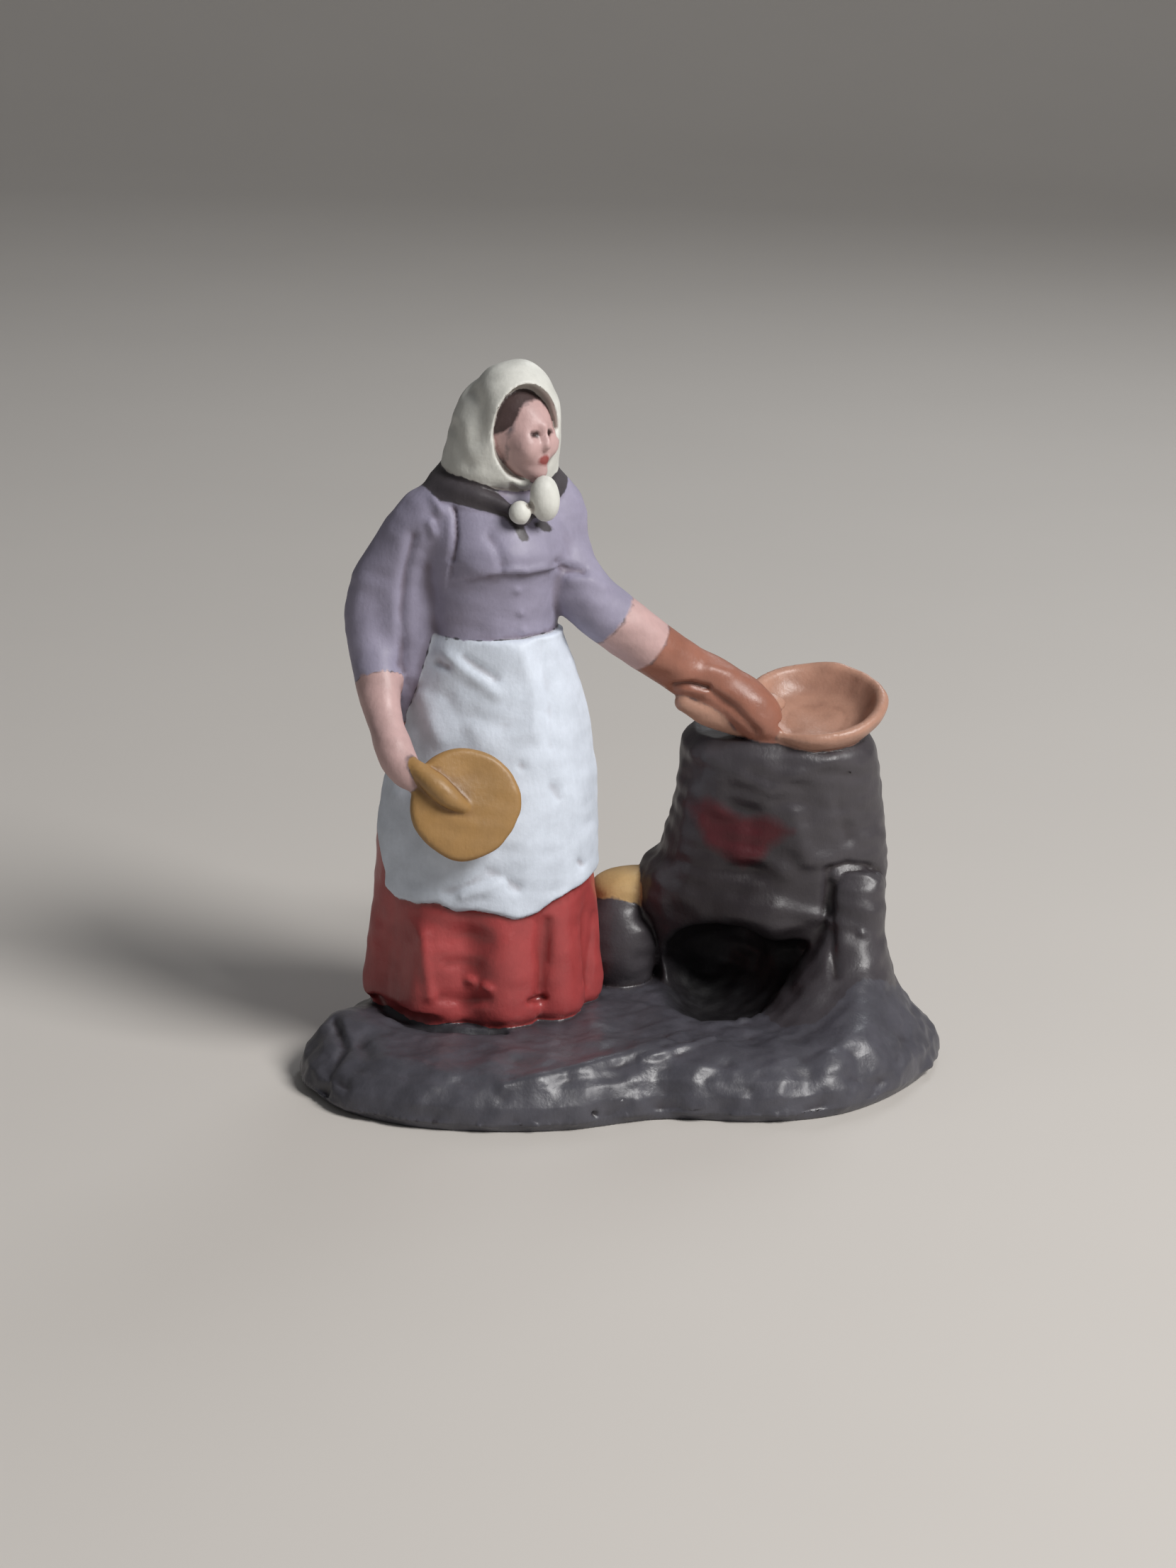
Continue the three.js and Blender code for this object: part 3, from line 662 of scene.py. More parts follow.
# The tool's marks on the front drawing: the paint that they lie on, half width, height, side, and places.
# A mark with less than no height is pressed in. A side of 1 keeps it to the left of its line, and -1 to
# the right, so that the line becomes an edge.
MARKS = [
    ("scarf", 0.9, -0.3, 0, [(-12.4, 53.0), (-12.3, 54.6), (-12.5, 56.0), (-13.2, 57.2)]),
    ("scarf", 0.5, -0.15, 0, [(-14.4, 54.2), (-14.1, 52.4), (-13.2, 50.6)]),
    ("scarf", 0.25, -0.25, 0, [(-9.5, 49.0), (-8.6, 48.2), (-7.8, 47.2)]),
    ("blouse", 0.25, -0.3, 0, [(-14.8, 48.7), (-14.6, 47.9), (-14.4, 46.3), (-14.4, 44.7), (-14.8, 42.7)]),
    ("blouse", 1.6, -0.3, -1, [(-14.8, 42.4), (-14.4, 44.7), (-14.4, 46.3), (-14.6, 47.9)]),
    ("blouse", 0.45, 0.3, 0, [(-15.9, 47.9), (-15.5, 46.9)]),
    ("blouse", 0.4, 0.25, 0, [(-16.4, 45.8), (-16.1, 45.0)]),
    ("blouse", 0.5, -0.35, 0, [(-17.9, 44.6), (-18.6, 41.6), (-18.9, 38.4), (-18.8, 35.0), (-18.9, 32.6)]),
    ("blouse", 0.5, -0.2, 0, [(-11.4, 44.7), (-10.8, 43.8), (-10.2, 42.1)]),
    ("blouse", 0.3, 0.3, 0, [(-9.9, 41.8), (-9.1, 41.9), (-8.1, 41.8), (-6.7, 42.1)]),
    ("blouse", 1.8, -0.4, -1, [(-12.0, 41.2), (-10.1, 41.4), (-8.1, 41.4), (-6.7, 41.7)]),
    ("blouse", 0.3, 0.16, 0, [(-9.0, 40.0), (-8.9, 40.0)]),
    ("blouse", 0.3, 0.16, 0, [(-8.7, 38.1), (-8.6, 38.1)]),
    ("blouse", 0.3, 0.16, 0, [(-8.5, 36.6), (-8.4, 36.6)]),
    ("blouse", 0.45, -0.35, 0, [(-5.4, 42.5), (-4.7, 41.9), (-3.4, 41.7)]),
    ("blouse", 0.6, 0.25, 0, [(-4.4, 41.0), (-2.9, 41.0), (-1.6, 40.4)]),
    ("apron", 0.5, -0.3, 0, [(-15.7, 33.9), (-15.1, 33.6)]),
    ("apron", 0.6, 0.25, 0, [(-14.8, 34.3), (-13.1, 33.0), (-10.9, 31.3)]),
    ("apron", 0.45, -0.2, 0, [(-13.5, 34.3), (-12.2, 33.4), (-10.9, 32.6)]),
    ("apron", 0.7, 0.2, 0, [(-8.6, 34.6), (-7.6, 31.5), (-7.4, 28.0)]),
    ("apron", 0.6, -0.15, 0, [(-6.9, 35.4), (-6.2, 31.0), (-6.0, 27.0)]),
    ("apron", 0.8, 0.25, 0, [(-17.2, 31.0), (-16.3, 29.0), (-15.5, 27.2)]),
    ("apron", 0.7, -0.15, 0, [(-14.9, 30.8), (-14.0, 28.8), (-13.2, 27.0)]),
    ("apron", 1.0, -0.2, 0, [(-12.6, 29.4), (-10.2, 28.6)]),
    ("apron", 0.4, -0.15, 0, [(-8.65, 25.1), (-8.5, 25.0)]),
    ("apron", 0.3, -0.2, 0, [(-3.6, 16.9), (-3.4, 16.7)]),
    ("apron", 0.5, -0.2, 0, [(-5.9, 23.3), (-5.4, 22.4)]),
    ("apron", 0.6, -0.2, 0, [(-15.0, 14.4), (-13.5, 14.8), (-11.8, 16.0)]),
    ("apron", 0.5, -0.2, 0, [(-11.0, 15.9), (-9.8, 15.2), (-9.0, 14.7)]),
    ("apron", 0.5, 0.25, 0, [(-13.6, 14.0), (-11.4, 14.6), (-10.4, 15.2)]),
    ("skirt", 1.0, -0.3, 0, [(-14.7, 10.3), (-13.2, 10.5), (-11.6, 10.0)]),
    ("skirt", 0.6, -0.18, 0, [(-14.9, 8.1), (-13.7, 8.3), (-12.5, 8.1)]),
    ("skirt", 0.4, 0.35, 0, [(-13.1, 6.8), (-12.8, 6.7)]),
    ("skirt", 0.4, 0.35, 0, [(-11.7, 6.2), (-11.4, 6.0)]),
    ("skirt", 0.6, -0.25, 0, [(-15.4, 5.2), (-13.5, 4.9), (-11.7, 5.1)]),
    ("skirt", 0.5, 0.3, 0, [(-17.0, 10.5), (-16.8, 8.0), (-16.4, 5.4)]),
    ("skirt", 0.45, -0.25, 0, [(-6.4, 11.8), (-6.7, 8.2), (-7.1, 5.1)]),
    ("skirt", 0.4, -0.2, 0, [(-2.4, 12.4), (-2.8, 9.4), (-3.1, 6.6)]),
    ("skirt", 0.3, -0.5, 0, [(-7.8, 4.9), (-6.7, 5.2)]),
    ("mitt", 0.45, -0.35, 0, [(7.8, 31.2), (9.5, 30.0), (11.4, 27.9)]),
    ("mitt", 0.3, -0.6, 0, [(4.4, 31.8), (5.9, 32.0), (7.3, 31.7)]),
    ("mitt", 0.6, 0.25, 0, [(7.6, 33.4), (9.2, 33.0)]),
    ("stove", 0.7, 0.25, 0, [(6.2, 26.3), (8.0, 25.3), (10.4, 24.2), (12.7, 22.9), (15.0, 24.4), (18.0, 25.6)]),
    ("stove", 0.5, -0.4, 0, [(17.6, 16.0), (17.7, 12.4), (17.9, 9.4), (18.2, 7.3)]),
    ("stove", 0.3, 0.25, 0, [(18.2, 15.5), (19.4, 15.7), (21.0, 15.6), (21.8, 15.1)]),
    ("stove", 0.3, -0.35, 0, [(18.0, 16.3), (19.2, 16.7), (20.9, 16.6), (22.0, 16.1)]),
    ("stove", 0.3, 0.25, 0, [(20.4, 10.8), (20.5, 10.7)]),
    ("stove", 0.8, 0.25, 0, [(14.8, 20.5), (15.6, 17.0)]),
    ("stove", 0.7, -0.25, 0, [(18.6, 22.0), (19.4, 19.0)]),
    ("stove", 0.5, 0.3, 0, [(17.0, 2.1), (19.0, 0.9), (21.3, 0.6)]),
    ("stove", 0.5, 0.4, 0, [(21.4, 5.2), (22.0, 4.2)]),
    ("ground", 0.6, 0.45, 0, [(-10.2, -2.4), (-7.0, -1.6), (-4.1, -0.9), (0.1, 0.2), (5.0, 1.8)]),
    ("ground", 0.3, 0.3, 0, [(1.6, -0.1), (4.4, 0.7), (7.8, 1.8)]),
    ("ground", 0.3, 0.3, 0, [(10.0, 3.3), (11.6, 3.9)]),
    ("ground", 0.5, -0.5, 0, [(-24.7, 3.3), (-23.8, 1.2), (-25.2, -0.9), (-25.6, -2.8)]),
    ("ground", 0.7, -0.4, 0, [(-22.3, 1.3), (-21.9, 0.8)]),
    ("ground", 0.6, -0.4, 0, [(-24.3, -2.0), (-23.8, -2.3)]),
    ("ground", 0.22, -0.5, 0, [(-2.35, -4.7), (-2.3, -4.7)]),
]

# Painted shapes on the front drawing, and the paint of each
HAIRLINE = [
    (-12.6, 53.2), (-10.8, 53.4), (-10.3, 53.5), (-9.4, 54.1), (-8.9, 55.2), (-8.4, 56.1), (-7.3, 56.4),
    (-6.0, 56.4), (-5.0, 57.4), (-7.0, 59.0), (-10.5, 58.4), (-12.9, 56.0),
]
COLLAR_POINT = [(-10.9, 47.6), (-9.3, 47.4), (-7.9, 44.5), (-8.5, 44.0)]
COLLAR_END = [(-7.7, 46.1), (-6.7, 46.1), (-5.8, 45.4), (-6.2, 45.0), (-7.3, 45.2)]
EMBER = [
    (5.4, 21.9), (7.4, 22.3), (10.2, 20.7), (12.7, 20.7), (14.5, 19.4), (12.8, 18.4), (11.8, 17.1),
    (10.2, 16.6), (7.4, 18.3),
]
SHAPES = [("hair", HAIRLINE), ("collar", COLLAR_POINT), ("collar", COLLAR_END), ("ember", EMBER)]


def facing_camera(places, normals):
    """How squarely the surface faces the camera: 1 is full face, and less than 0 is turned away."""
    towards = EYE - places
    towards /= np.linalg.norm(towards, axis=1, keepdims=True)
    return (normals * towards).sum(1)


def beside_line(drawn, line):
    """How far each place is from a line of straight steps, and on which side: 1 is left, -1 is right."""
    away = np.full(len(drawn), FAR)
    side = np.ones(len(drawn))
    for a, b in zip(line[:-1], line[1:]):
        edge = b - a
        offset = drawn - a
        t = np.clip(offset @ edge / (edge @ edge), 0, 1)
        gap = np.linalg.norm(offset - t[:, None] * edge, axis=1)
        left = np.sign(edge[0] * offset[:, 1] - edge[1] * offset[:, 0])
        side = np.where(gap < away, left, side)
        away = np.minimum(away, gap)
    return away, side


def press_marks(places, faces, covers):
    """Moves the surface in and out along the tool's marks, each on its own paint."""
    normals = normals_of(places, faces)
    drawn = front_drawing(places)
    facing = smoothstep(facing_camera(places, normals), 0.1, 0.35)
    moved = np.zeros(len(places), np.float32)
    for paint, half_width, height, kept_side, line in MARKS:
        line = np.array(line)
        reach = 2.5 * half_width
        near = np.all((drawn > line.min(0) - reach) & (drawn < line.max(0) + reach), axis=1)
        near &= covers[paint] > -0.2
        chosen = np.flatnonzero(near)
        away, side = beside_line(drawn[chosen], line)
        weight = facing[chosen] * smoothstep(covers[paint][chosen], 0.0, 0.5)
        if kept_side:
            weight *= smoothstep(kept_side * side * away, -0.12, 0.12)
        moved[chosen] += height * weight * bump(away, half_width)
    return places + normals * moved[:, None]


def uneven(places, size, seed):
    """A smooth unevenness between about -1 and 1 with swells of a given size."""
    chance = np.random.default_rng(seed)
    waves = chance.normal(size=(14, 3))
    waves *= (2 * math.pi / size) / np.linalg.norm(waves, axis=1, keepdims=True)
    waves *= chance.uniform(0.6, 1.5, (14, 1))
    phases = chance.uniform(0, 2 * math.pi, 14)
    return np.sin(places @ waves.T + phases).sum(1) / 14**0.5 * 0.8


def covers_of(clay, places):
    """How far inside each paint every place is, in mm: less than zero where another paint is nearer."""
    x, y, z = places.T.astype(np.float32)
    nearest = {}
    for paint, forms in clay.painted.items():
        nearest[paint] = np.min([form.distance(x, y, z) for form in forms], axis=0)
    covers = {}
    for paint in nearest:
        others = np.min([gap for other, gap in nearest.items() if other != paint], axis=0)
        covers[paint] = others - nearest[paint]
    return covers


def hand_unevenness(places, faces, amount):
    """The small swells that fingers leave on clay, less on the woman than on the ground and the stove."""
    normals = normals_of(places, faces)
    stove = smoothstep(places[:, 0], 0.0, 1.5) * smoothstep(places[:, 2], 28.0, 26.0)
    ground = smoothstep(places[:, 2], 6.0, 4.5)
    swell = (0.09 + 0.08 * stove) * uneven(places, 5.5, 3) + (0.04 + 0.05 * stove) * uneven(places, 2.2, 4)
    swell += ground * (0.15 * uneven(places, 4.0, 5) + 0.05 * uneven(places, 1.7, 6))
    swell *= amount * smoothstep(places[:, 2], 0.1, 0.9)
    return places + normals * swell[:, None]


def mesh_of(name, places, faces):
    mesh = bpy.data.meshes.new(name)
    sides = faces.shape[1]
    mesh.vertices.add(len(places))
    mesh.vertices.foreach_set("co", places.astype(np.float32).ravel())
    mesh.loops.add(faces.size)
    mesh.loops.foreach_set("vertex_index", faces.astype(np.int32).ravel())
    mesh.polygons.add(len(faces))
    mesh.polygons.foreach_set("loop_start", np.arange(0, faces.size, sides, dtype=np.int32))
    mesh.update(calc_edges=True)
    mesh.validate()
    return mesh


def thinned(mesh, triangles):
    """The mesh with about so many triangles, kept fine where it bends."""
    holder = bpy.data.objects.new("holder", mesh)
    bpy.context.scene.collection.objects.link(holder)
    modifier = holder.modifiers.new("fewer faces", "DECIMATE")
    modifier.ratio = min(1.0, triangles / (2 * len(mesh.polygons)))
    result = bpy.data.meshes.new_from_object(holder.evaluated_get(bpy.context.evaluated_depsgraph_get()))
    bpy.data.objects.remove(holder)
    bpy.data.meshes.remove(mesh)
    return result


def places_of(mesh):
    places = np.zeros(len(mesh.vertices) * 3, np.float32)
    mesh.vertices.foreach_get("co", places)
    return places.reshape(-1, 3)


def note(mesh, name, values):
    """Keeps one number for each place of the mesh, for the material to read."""
    layer = mesh.attributes.new(name, "FLOAT", "POINT")
    layer.data.foreach_set("value", np.asarray(values, np.float32))


def hollowness(mesh):
    """How hollow the surface is at each place: above zero in creases and below it on ridges."""
    places = places_of(mesh)
    edges = np.zeros(len(mesh.edges) * 2, np.int32)
    mesh.edges.foreach_get("vertices", edges)
    a, b = edges.reshape(-1, 2).T
    normals = np.zeros(len(places) * 3, np.float32)
    mesh.vertices.foreach_get("normal", normals)
    normals = normals.reshape(-1, 3)
    length = np.linalg.norm(places[a] - places[b], axis=1) + 1e-6
    lift = ((places[b] - places[a]) * (normals[a] - normals[b])).sum(1) / length
    count = np.bincount(a, minlength=len(places)) + np.bincount(b, minlength=len(places)) + 1e-6
    bend = (np.bincount(a, lift, len(places)) + np.bincount(b, lift, len(places))) / count
    for _ in range(3):
        spread = np.bincount(a, bend[b], len(places)) + np.bincount(b, bend[a], len(places))
        bend = 0.5 * bend + 0.5 * spread / count
    return bend


# The order of the brush: each paint covers those before it. Roughness, and how soft its edge is in mm
COATS = {
    # The coats laid round and inside the fire hole and under the hem are painted shade
    "stove": (0.44, 0.05), "smoke": (0.45, 3.0), "soot": (0.6, 0.7), "heap": (0.6, 0.1), "skirt": (0.38, 0.05),
    "apron": (0.6, 0.05), "blouse": (0.6, 0.06), "skin": (0.5, 0.15), "mitt": (0.42, 0.15),
    "pan": (0.42, 0.15), "fan": (0.5, 0.05), "collar": (0.6, 0.1), "hair": (0.55, 0.12),
    "lips": (0.5, 0.15), "eye": (0.45, 0.12), "scarf": (0.6, 0.06), "ember": (0.5, 0.5),
}
GROUND_ROUGHNESS = 0.42


def linear(code):
    """A colour's red, green and blue in linear light, from its code on screen."""
    parts = [int(code[i : i + 2], 16) / 255 for i in (1, 3, 5)]
    return tuple(c / 12.92 if c <= 0.04045 else ((c + 0.055) / 1.055) ** 2.4 for c in parts)


def colour_setting(name, description, code):
    return bpy.props.FloatVectorProperty(
        name=name, description=description, subtype="COLOR", size=3, min=0, max=1, default=linear(code)
    )


class ClaySettings(bpy.types.PropertyGroup):
    """Sizes of the clay modelling."""

    pitch: bpy.props.FloatProperty(
        name="Fineness", description="Spacing of the grid that the clay is modelled on",
        default=0.2 * MM, min=0.15 * MM, max=1 * MM, precision=5, unit="LENGTH",
    )
    unevenness: bpy.props.FloatProperty(
        name="Unevenness", description="How strongly the fingers' swells show", default=1.0, min=0, max=3,
    )
    triangles: bpy.props.IntProperty(
        name="Triangles", description="About how many triangles the cast is made of", default=190000, min=20000,
    )


class PaintSettings(bpy.types.PropertyGroup):
    """Colours of the paints."""

    ground: colour_setting("Ground", "The slab of ground", "#4a4950")
    stove: colour_setting("Stove", "The stove, its post and the pot", "#444044")
    heap: colour_setting("Heap", "The heap in the pot", "#c4a470")
    skirt: colour_setting("Skirt", "The long skirt", "#a84646")
    apron: colour_setting("Apron", "The apron", "#d4dce8")
    blouse: colour_setting("Blouse", "The blouse and its sleeves", "#9691a6")
    skin: colour_setting("Skin", "Face, hand and forearm", "#c4a3a0")
    # The mitt is its own painted part, and its brown is the pan's brown made darker as painted shade
    mitt: colour_setting("Mitt", "The mitt that holds the pan", "#9a6654")
    pan: colour_setting("Pan", "The pan", "#b58a76")
    fan: colour_setting("Fan", "The straw fan", "#a27d4c")
    collar: colour_setting("Collar", "The dark collar", "#443f43")
    hair: colour_setting("Hair", "The hair over the forehead", "#453433")
    lips: colour_setting("Lips", "The mouth", "#8c4440")
    eye: colour_setting("Eye", "The eye", "#3a2320")
    scarf: colour_setting("Scarf", "The headscarf", "#d6d6cf")
    ember: colour_setting("Ember", "The red patch on the stove", "#4c141c")
    # Painted shade: the darker paint round the fire hole, and the near-black in it and under the hem
    smoke: colour_setting("Smoke", "The darker paint round the fire hole", "#2b2528")
    soot: colour_setting("Soot", "Inside the fire hole and under the hem", "#121013")


class StageSettings(bpy.types.PropertyGroup):
    """The floor and the lights."""

    floor: colour_setting("Floor", "The plain pale floor and backdrop", "#cfcac4")
    key: bpy.props.FloatProperty(
        name="Key light", description="Power of the soft key light", default=3.1, min=0, unit="POWER"
    )
    fill: bpy.props.FloatProperty(
        name="Fill light", description="Power of the light from the left", default=0.03, min=0, unit="POWER"
    )
    back: bpy.props.FloatProperty(
        name="Back light", description="Power of the light from behind", default=0.3, min=0, unit="POWER"
    )
    room: bpy.props.FloatProperty(
        name="Room light", description="Strength of the light from all round", default=0.12, min=0
    )


class Wiring:
    """Places and joins the nodes of one material."""

    def __init__(self, name):
        self.material = bpy.data.materials.new(name)
        self.material.use_nodes = True
        self.tree = self.material.node_tree
        self.tree.nodes.clear()

    def node(self, kind, values=None, **settings):
        made = self.tree.nodes.new("ShaderNode" + kind)
        for key, value in settings.items():
            setattr(made, key, value)
        for key, value in (values or {}).items():
            socket = made.inputs[key]
            if isinstance(value, bpy.types.NodeSocket):
                self.tree.links.new(value, socket)
            else:
                socket.default_value = value
        return made

    def maths(self, operation, *values):
        return self.node("Math", dict(enumerate(values)), operation=operation).outputs[0]

    def spread(self, value, start, end, low=0.0, high=1.0):
        ends = {"Value": value, "From Min": start, "From Max": end, "To Min": low, "To Max": high}
        return self.node("MapRange", ends).outputs["Result"]

    def mix(self, share, first, second, blend="MIX"):
        made = self.node("Mix", data_type="RGBA", blend_type=blend)
        for socket, value in zip((made.inputs[0], made.inputs[6], made.inputs[7]), (share, first, second)):
            if isinstance(value, bpy.types.NodeSocket):
                self.tree.links.new(value, socket)
            else:
                socket.default_value = value
        return made.outputs[2]

    def noise(self, at, scale, detail=3.0, rough=0.5):
        values = {"Vector": at, "Scale": scale, "Detail": detail, "Roughness": rough}
        return self.node("TexNoise", values).outputs["Fac"]


def shade(colour, share):
    return (*(channel * share for channel in colour), 1.0)


def clay_paint(paints):
    """Hand-brushed satin paint on fired clay: one coat for each colour, with painted shade darkening the creases."""
    w = Wiring("hand_brushed_paint")
    place = w.node("TexCoord").outputs["Object"]
    mm = w.node("VectorMath", {0: place, "Scale": 1000.0}, operation="SCALE").outputs[0]
    wobble = w.spread(w.noise(mm, 1.1, 2.0), 0.3, 0.7, -0.12, 0.12)
    mottle = w.spread(w.noise(mm, 0.35, 4.0, 0.6), 0.3, 0.7)
    streaks = w.noise(w.node("Mapping", {"Vector": mm, "Scale": (3.2, 3.2, 0.8)}).outputs[0], 1.0, 3.0)
    crease_shade = w.node("Attribute", attribute_name="hollow").outputs["Fac"]

    colour = w.mix(mottle, shade(paints.ground, 0.8), shade(paints.ground, 1.25))
    rough = w.maths("ADD", GROUND_ROUGHNESS, 0.0)
    for coat, (own_rough, softness) in COATS.items():
        own = getattr(paints, coat)
        tone = w.mix(mottle, shade(own, 0.88), shade(own, 1.1))
        cover = w.node("Attribute", attribute_name="coat_" + coat).outputs["Fac"]
        share = w.spread(w.maths("ADD", cover, wobble), -softness, softness)
        colour = w.mix(share, colour, tone)
        rough = w.node("Mix", {0: share, 2: rough, 3: own_rough}).outputs[0]
    colour = w.mix(w.spread(streaks, 0.3, 0.7, 0.0, 0.1), colour, shade((1, 1, 1), 0.6), "MULTIPLY")
    # Painted shade: creases darkened by how hollow the surface is there
    colour = w.mix(w.spread(crease_shade, 0.02, 0.16, 0.0, 0.6), colour, shade((0.42, 0.33, 0.31), 1.0), "MULTIPLY")

    height = w.maths("ADD", w.maths("MULTIPLY", streaks, 0.02), w.maths("MULTIPLY", w.noise(mm, 3.0, 3.0), 0.03))
    bumped = w.node("Bump", {"Height": height, "Distance": MM, "Strength": 0.8}).outputs["Normal"]
    gloss = w.maths("ADD", rough, w.spread(w.noise(mm, 0.5, 3.0), 0.3, 0.7, -0.08, 0.08))
    surface = w.node("BsdfPrincipled", {"Base Color": colour, "Roughness": gloss, "Normal": bumped})
    surface.inputs["Coat Weight"].default_value = 0.05
    surface.inputs["Coat Roughness"].default_value = 0.2
    w.node("OutputMaterial", {"Surface": surface.outputs[0]})
    return w.material


class FIGURE_OT_cast(bpy.types.Operator):
    """Models the whole cast in clay and paints it"""

    bl_idname = "clay_figure.cast"
    bl_label = "Model the cast"

    def execute(self, context):
        settings = context.scene.figure_clay
        pitch = settings.pitch / MM
        low, high = (np.array(corner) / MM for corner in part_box(NODE))
        middle = np.array([*CAST_MIDDLE, 0])
        clay = Clay(low + middle - 1.2, high + middle + 1.2, pitch)
        for make in (make_ground, make_stove, make_dress, make_arms, make_head, make_fan, make_pan):
            make(clay)
        places, faces = surface_of(clay)
        places = hand_unevenness(places, faces, settings.unevenness)
        places = press_marks(places, faces, covers_of(clay, places))
        mesh = mesh_of("woman_at_stove_cast", places, faces)
        mesh = thinned(mesh, settings.triangles)
        self.lay_paint(clay, mesh)
        places = places_of(mesh) - middle
        mesh.vertices.foreach_set("co", (places * MM).astype(np.float32).ravel())
        mesh.polygons.foreach_set("use_smooth", np.ones(len(mesh.polygons), bool))
        mesh.update()
        mesh.materials.append(clay_paint(context.scene.figure_paints))
        cast = bpy.data.objects.new("painted_cast", mesh)
        context.scene.collection.objects.link(cast)
        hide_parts(NODE)
        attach(cast, BODY)
        print("cast triangles", sum(len(p.vertices) - 2 for p in mesh.polygons))
        return {"FINISHED"}

    def lay_paint(self, clay, mesh):
        """Keeps for each coat how far inside it every place of the mesh is."""
        places = places_of(mesh)
        normals = np.zeros(len(places) * 3, np.float32)
        mesh.vertices.foreach_get("normal", normals)
        in_front = facing_camera(places, normals.reshape(-1, 3)) * 2
        covers = covers_of(clay, places)
        head = np.maximum(covers["skin"], covers["hair"])
        covers["skin"] = np.where(places[:, 2] > CHIN, head, covers["skin"])
        limits = {"hair": head, "collar": np.maximum(covers["blouse"], covers["collar"]), "ember": covers["stove"]}
        covers["hair"] = np.minimum(covers["hair"], -1.0)
        # The painted shade of the fire hole and the hem, like the small marks, covers only where its dabs and shapes
        # lie
        for paint in ("ember", "smoke", "soot", "lips", "eye"):
            covers[paint] = np.full(len(places), -FAR)
        drawn = front_drawing(places)
        for paint, outline in SHAPES:
            inside = -outline_distance(drawn[:, 0], drawn[:, 1], outline)
            inside = np.minimum(np.minimum(inside, limits[paint] + 0.2), in_front)
            covers[paint] = np.maximum(covers[paint], inside)
        x, y, z = places.T
        for paint, form in clay.dabs:
            covers[paint] = np.maximum(covers[paint], -form.distance(x, y, z))
        for coat in COATS:
            note(mesh, "coat_" + coat, covers[coat])
        note(mesh, "hollow", hollowness(mesh))


def stage_material(colour):
    w = Wiring("plain_backdrop")
    mm = w.node("VectorMath", {0: w.node("TexCoord").outputs["Object"], "Scale": 1000.0}, operation="SCALE").outputs[0]
    tone = w.mix(w.noise(mm, 0.02, 3.0), shade(colour, 0.97), shade(colour, 1.02))
    surface = w.node("BsdfPrincipled", {"Base Color": tone, "Roughness": 0.7})
    w.node("OutputMaterial", {"Surface": surface.outputs[0]})
    return w.material


def backdrop(colour):
    """A pale floor that curves up into a wall far behind the figure."""
    half_width, front, bend, radius, top = 3.0, -3.0, 0.55, 0.35, 1.1
    steps = 16
    profile = [(front, 0.0)]
    for i in range(steps + 1):
        turn = i / steps * math.pi / 2
        profile.append((bend + radius * math.sin(turn), radius * (1 - math.cos(turn))))
    profile.append((bend + radius, top))
    places = np.array([(side * half_width, y, z - 0.02 * MM) for y, z in profile for side in (-1, 1)])
    rows = np.arange(len(profile) - 1) * 2
    faces = np.stack([rows, rows + 1, rows + 3, rows + 2], axis=1)
    mesh = mesh_of("floor_and_backdrop", places, faces)
    mesh.polygons.foreach_set("use_smooth", np.ones(len(mesh.polygons), bool))
    mesh.materials.append(stage_material(colour))
    return bpy.data.objects.new("floor_and_backdrop", mesh)


def soft_light(context, name, place, aim, size, power, colour):
    lamp = bpy.data.lights.new(name, "AREA")
    lamp.shape = "DISK"
    lamp.size = size
    lamp.energy = power
    lamp.color = colour
    holder = bpy.data.objects.new(name, lamp)
    holder.location = place
    holder.rotation_euler = (Vector(aim) - Vector(place)).to_track_quat("-Z", "Y").to_euler()
    context.scene.collection.objects.link(holder)
    return holder


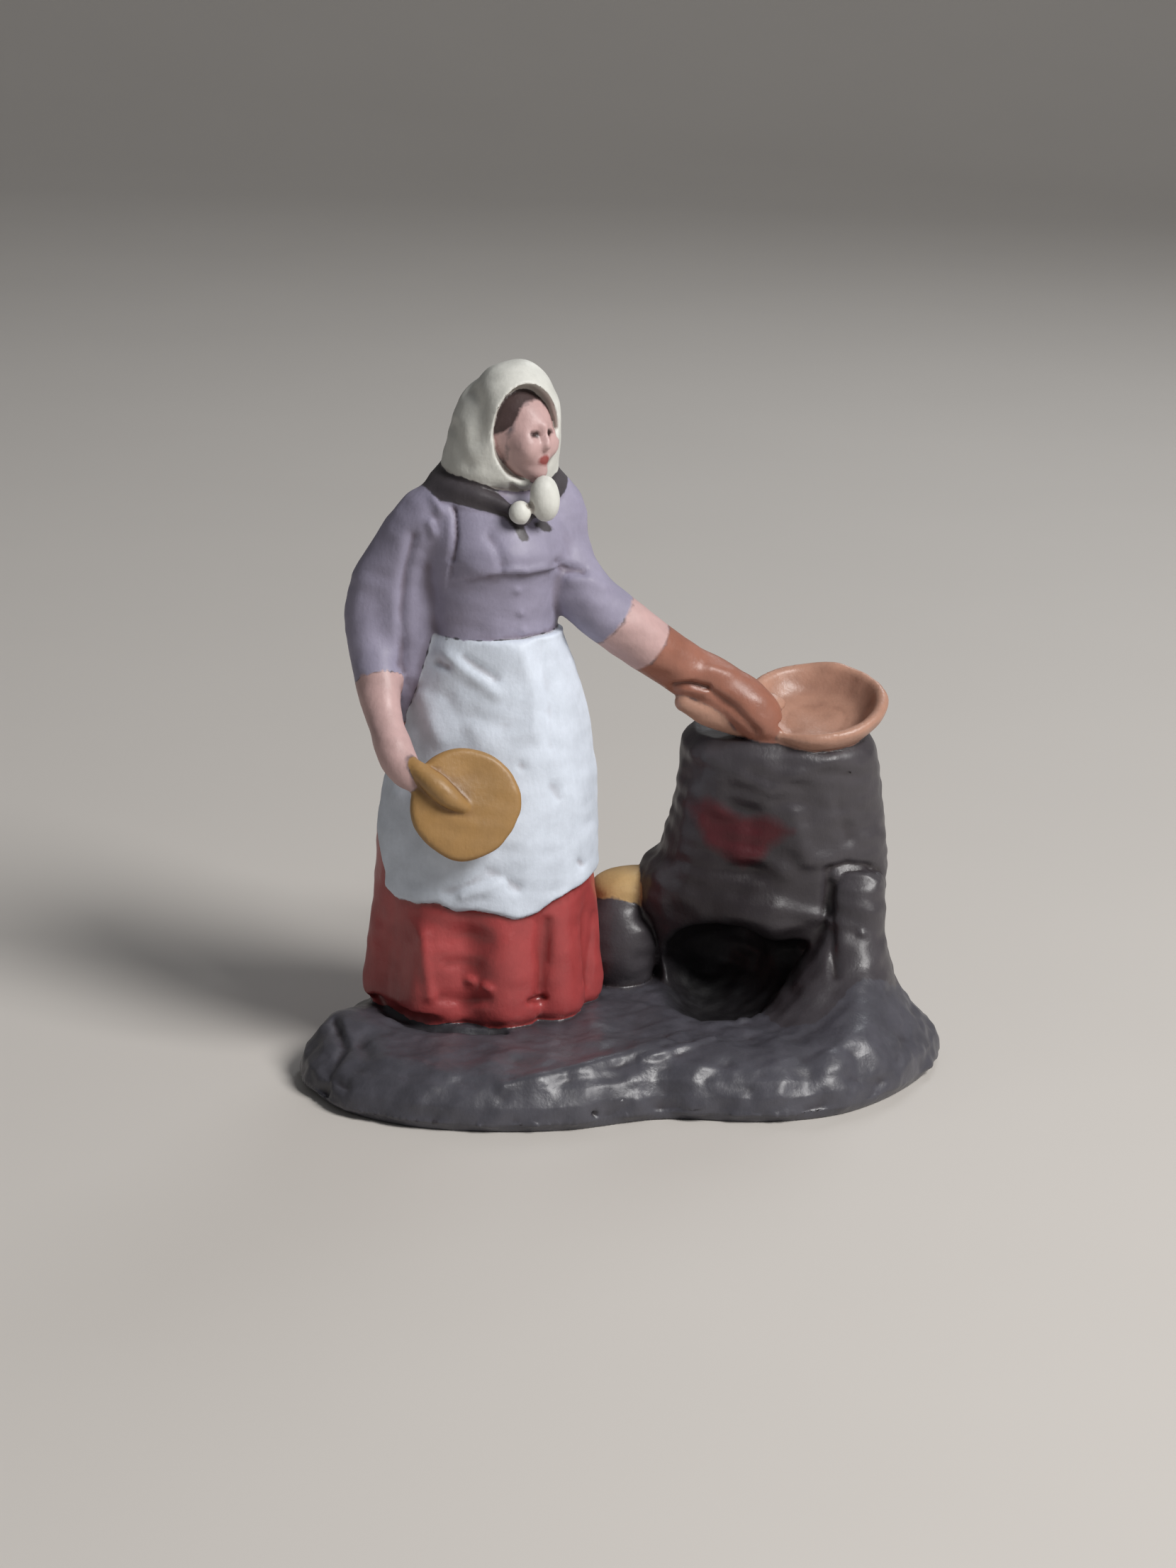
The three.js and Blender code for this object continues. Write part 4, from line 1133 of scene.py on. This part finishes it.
class FIGURE_OT_stage(bpy.types.Operator):
    """Sets the floor, the lights and the camera"""

    bl_idname = "clay_figure.stage"
    bl_label = "Set the stage"

    def execute(self, context):
        settings = context.scene.figure_stage
        floor = backdrop(settings.floor)
        context.scene.collection.objects.link(floor)
        aim = (0, 0, 0.03)
        soft_light(context, "key_light", (0.32, -0.24, 0.40), aim, 0.24, settings.key, (1.0, 0.985, 0.97))
        soft_light(context, "fill_light", (-0.35, -0.30, 0.18), aim, 0.35, settings.fill, (1.0, 0.95, 0.9))
        soft_light(context, "back_light", (0.12, 0.34, 0.30), aim, 0.16, settings.back, (0.92, 0.96, 1.0))
        context.scene.view_settings.view_transform = "Standard"
        world = bpy.data.worlds.new("soft_room")
        world.use_nodes = True
        background = world.node_tree.nodes["Background"]
        background.inputs["Color"].default_value = (0.92, 0.95, 1.0, 1)
        background.inputs["Strength"].default_value = settings.room
        context.scene.world = world
        self.place_camera(context)
        return {"FINISHED"}

    def place_camera(self, context):
        camera = bpy.data.cameras.new("photo_view")
        camera.lens = LENS
        camera.clip_start = 0.01
        camera.clip_end = 10
        right, up, forward = camera_axes()
        holder = bpy.data.objects.new("photo_view", camera)
        place = (EYE - [*CAST_MIDDLE, 0]) * MM
        axes = np.eye(4)
        axes[:3, :3] = np.stack([right, up, -forward], axis=1)
        axes[:3, 3] = place
        holder.matrix_world = Matrix(axes.tolist())
        context.scene.collection.objects.link(holder)
        context.scene.camera = holder


class FIGURE_PT_panel(bpy.types.Panel):
    """Lists the figure's settings and steps"""

    bl_idname = "FIGURE_PT_panel"
    bl_label = "Clay figure"
    bl_space_type = "VIEW_3D"
    bl_region_type = "UI"
    bl_category = "Clay figure"

    def draw(self, context):
        for step, group in ((FIGURE_OT_cast, "figure_clay"), (FIGURE_OT_stage, "figure_stage")):
            settings = getattr(context.scene, group)
            for name in settings.__annotations__:
                self.layout.prop(settings, name)
            self.layout.operator(step.bl_idname)
        for name in PaintSettings.__annotations__:
            self.layout.prop(context.scene.figure_paints, name)


CLASSES = (ClaySettings, PaintSettings, StageSettings, FIGURE_OT_cast, FIGURE_OT_stage, FIGURE_PT_panel)


def register():
    for each in CLASSES:
        bpy.utils.register_class(each)
    bpy.types.Scene.figure_clay = bpy.props.PointerProperty(type=ClaySettings)
    bpy.types.Scene.figure_paints = bpy.props.PointerProperty(type=PaintSettings)
    bpy.types.Scene.figure_stage = bpy.props.PointerProperty(type=StageSettings)


def unregister():
    for name in ("figure_clay", "figure_paints", "figure_stage"):
        delattr(bpy.types.Scene, name)
    for each in reversed(CLASSES):
        bpy.utils.unregister_class(each)


def main():
    register()
    bpy.ops.clay_figure.cast()
    bpy.ops.clay_figure.stage()


if __name__ == "__main__":
    main()
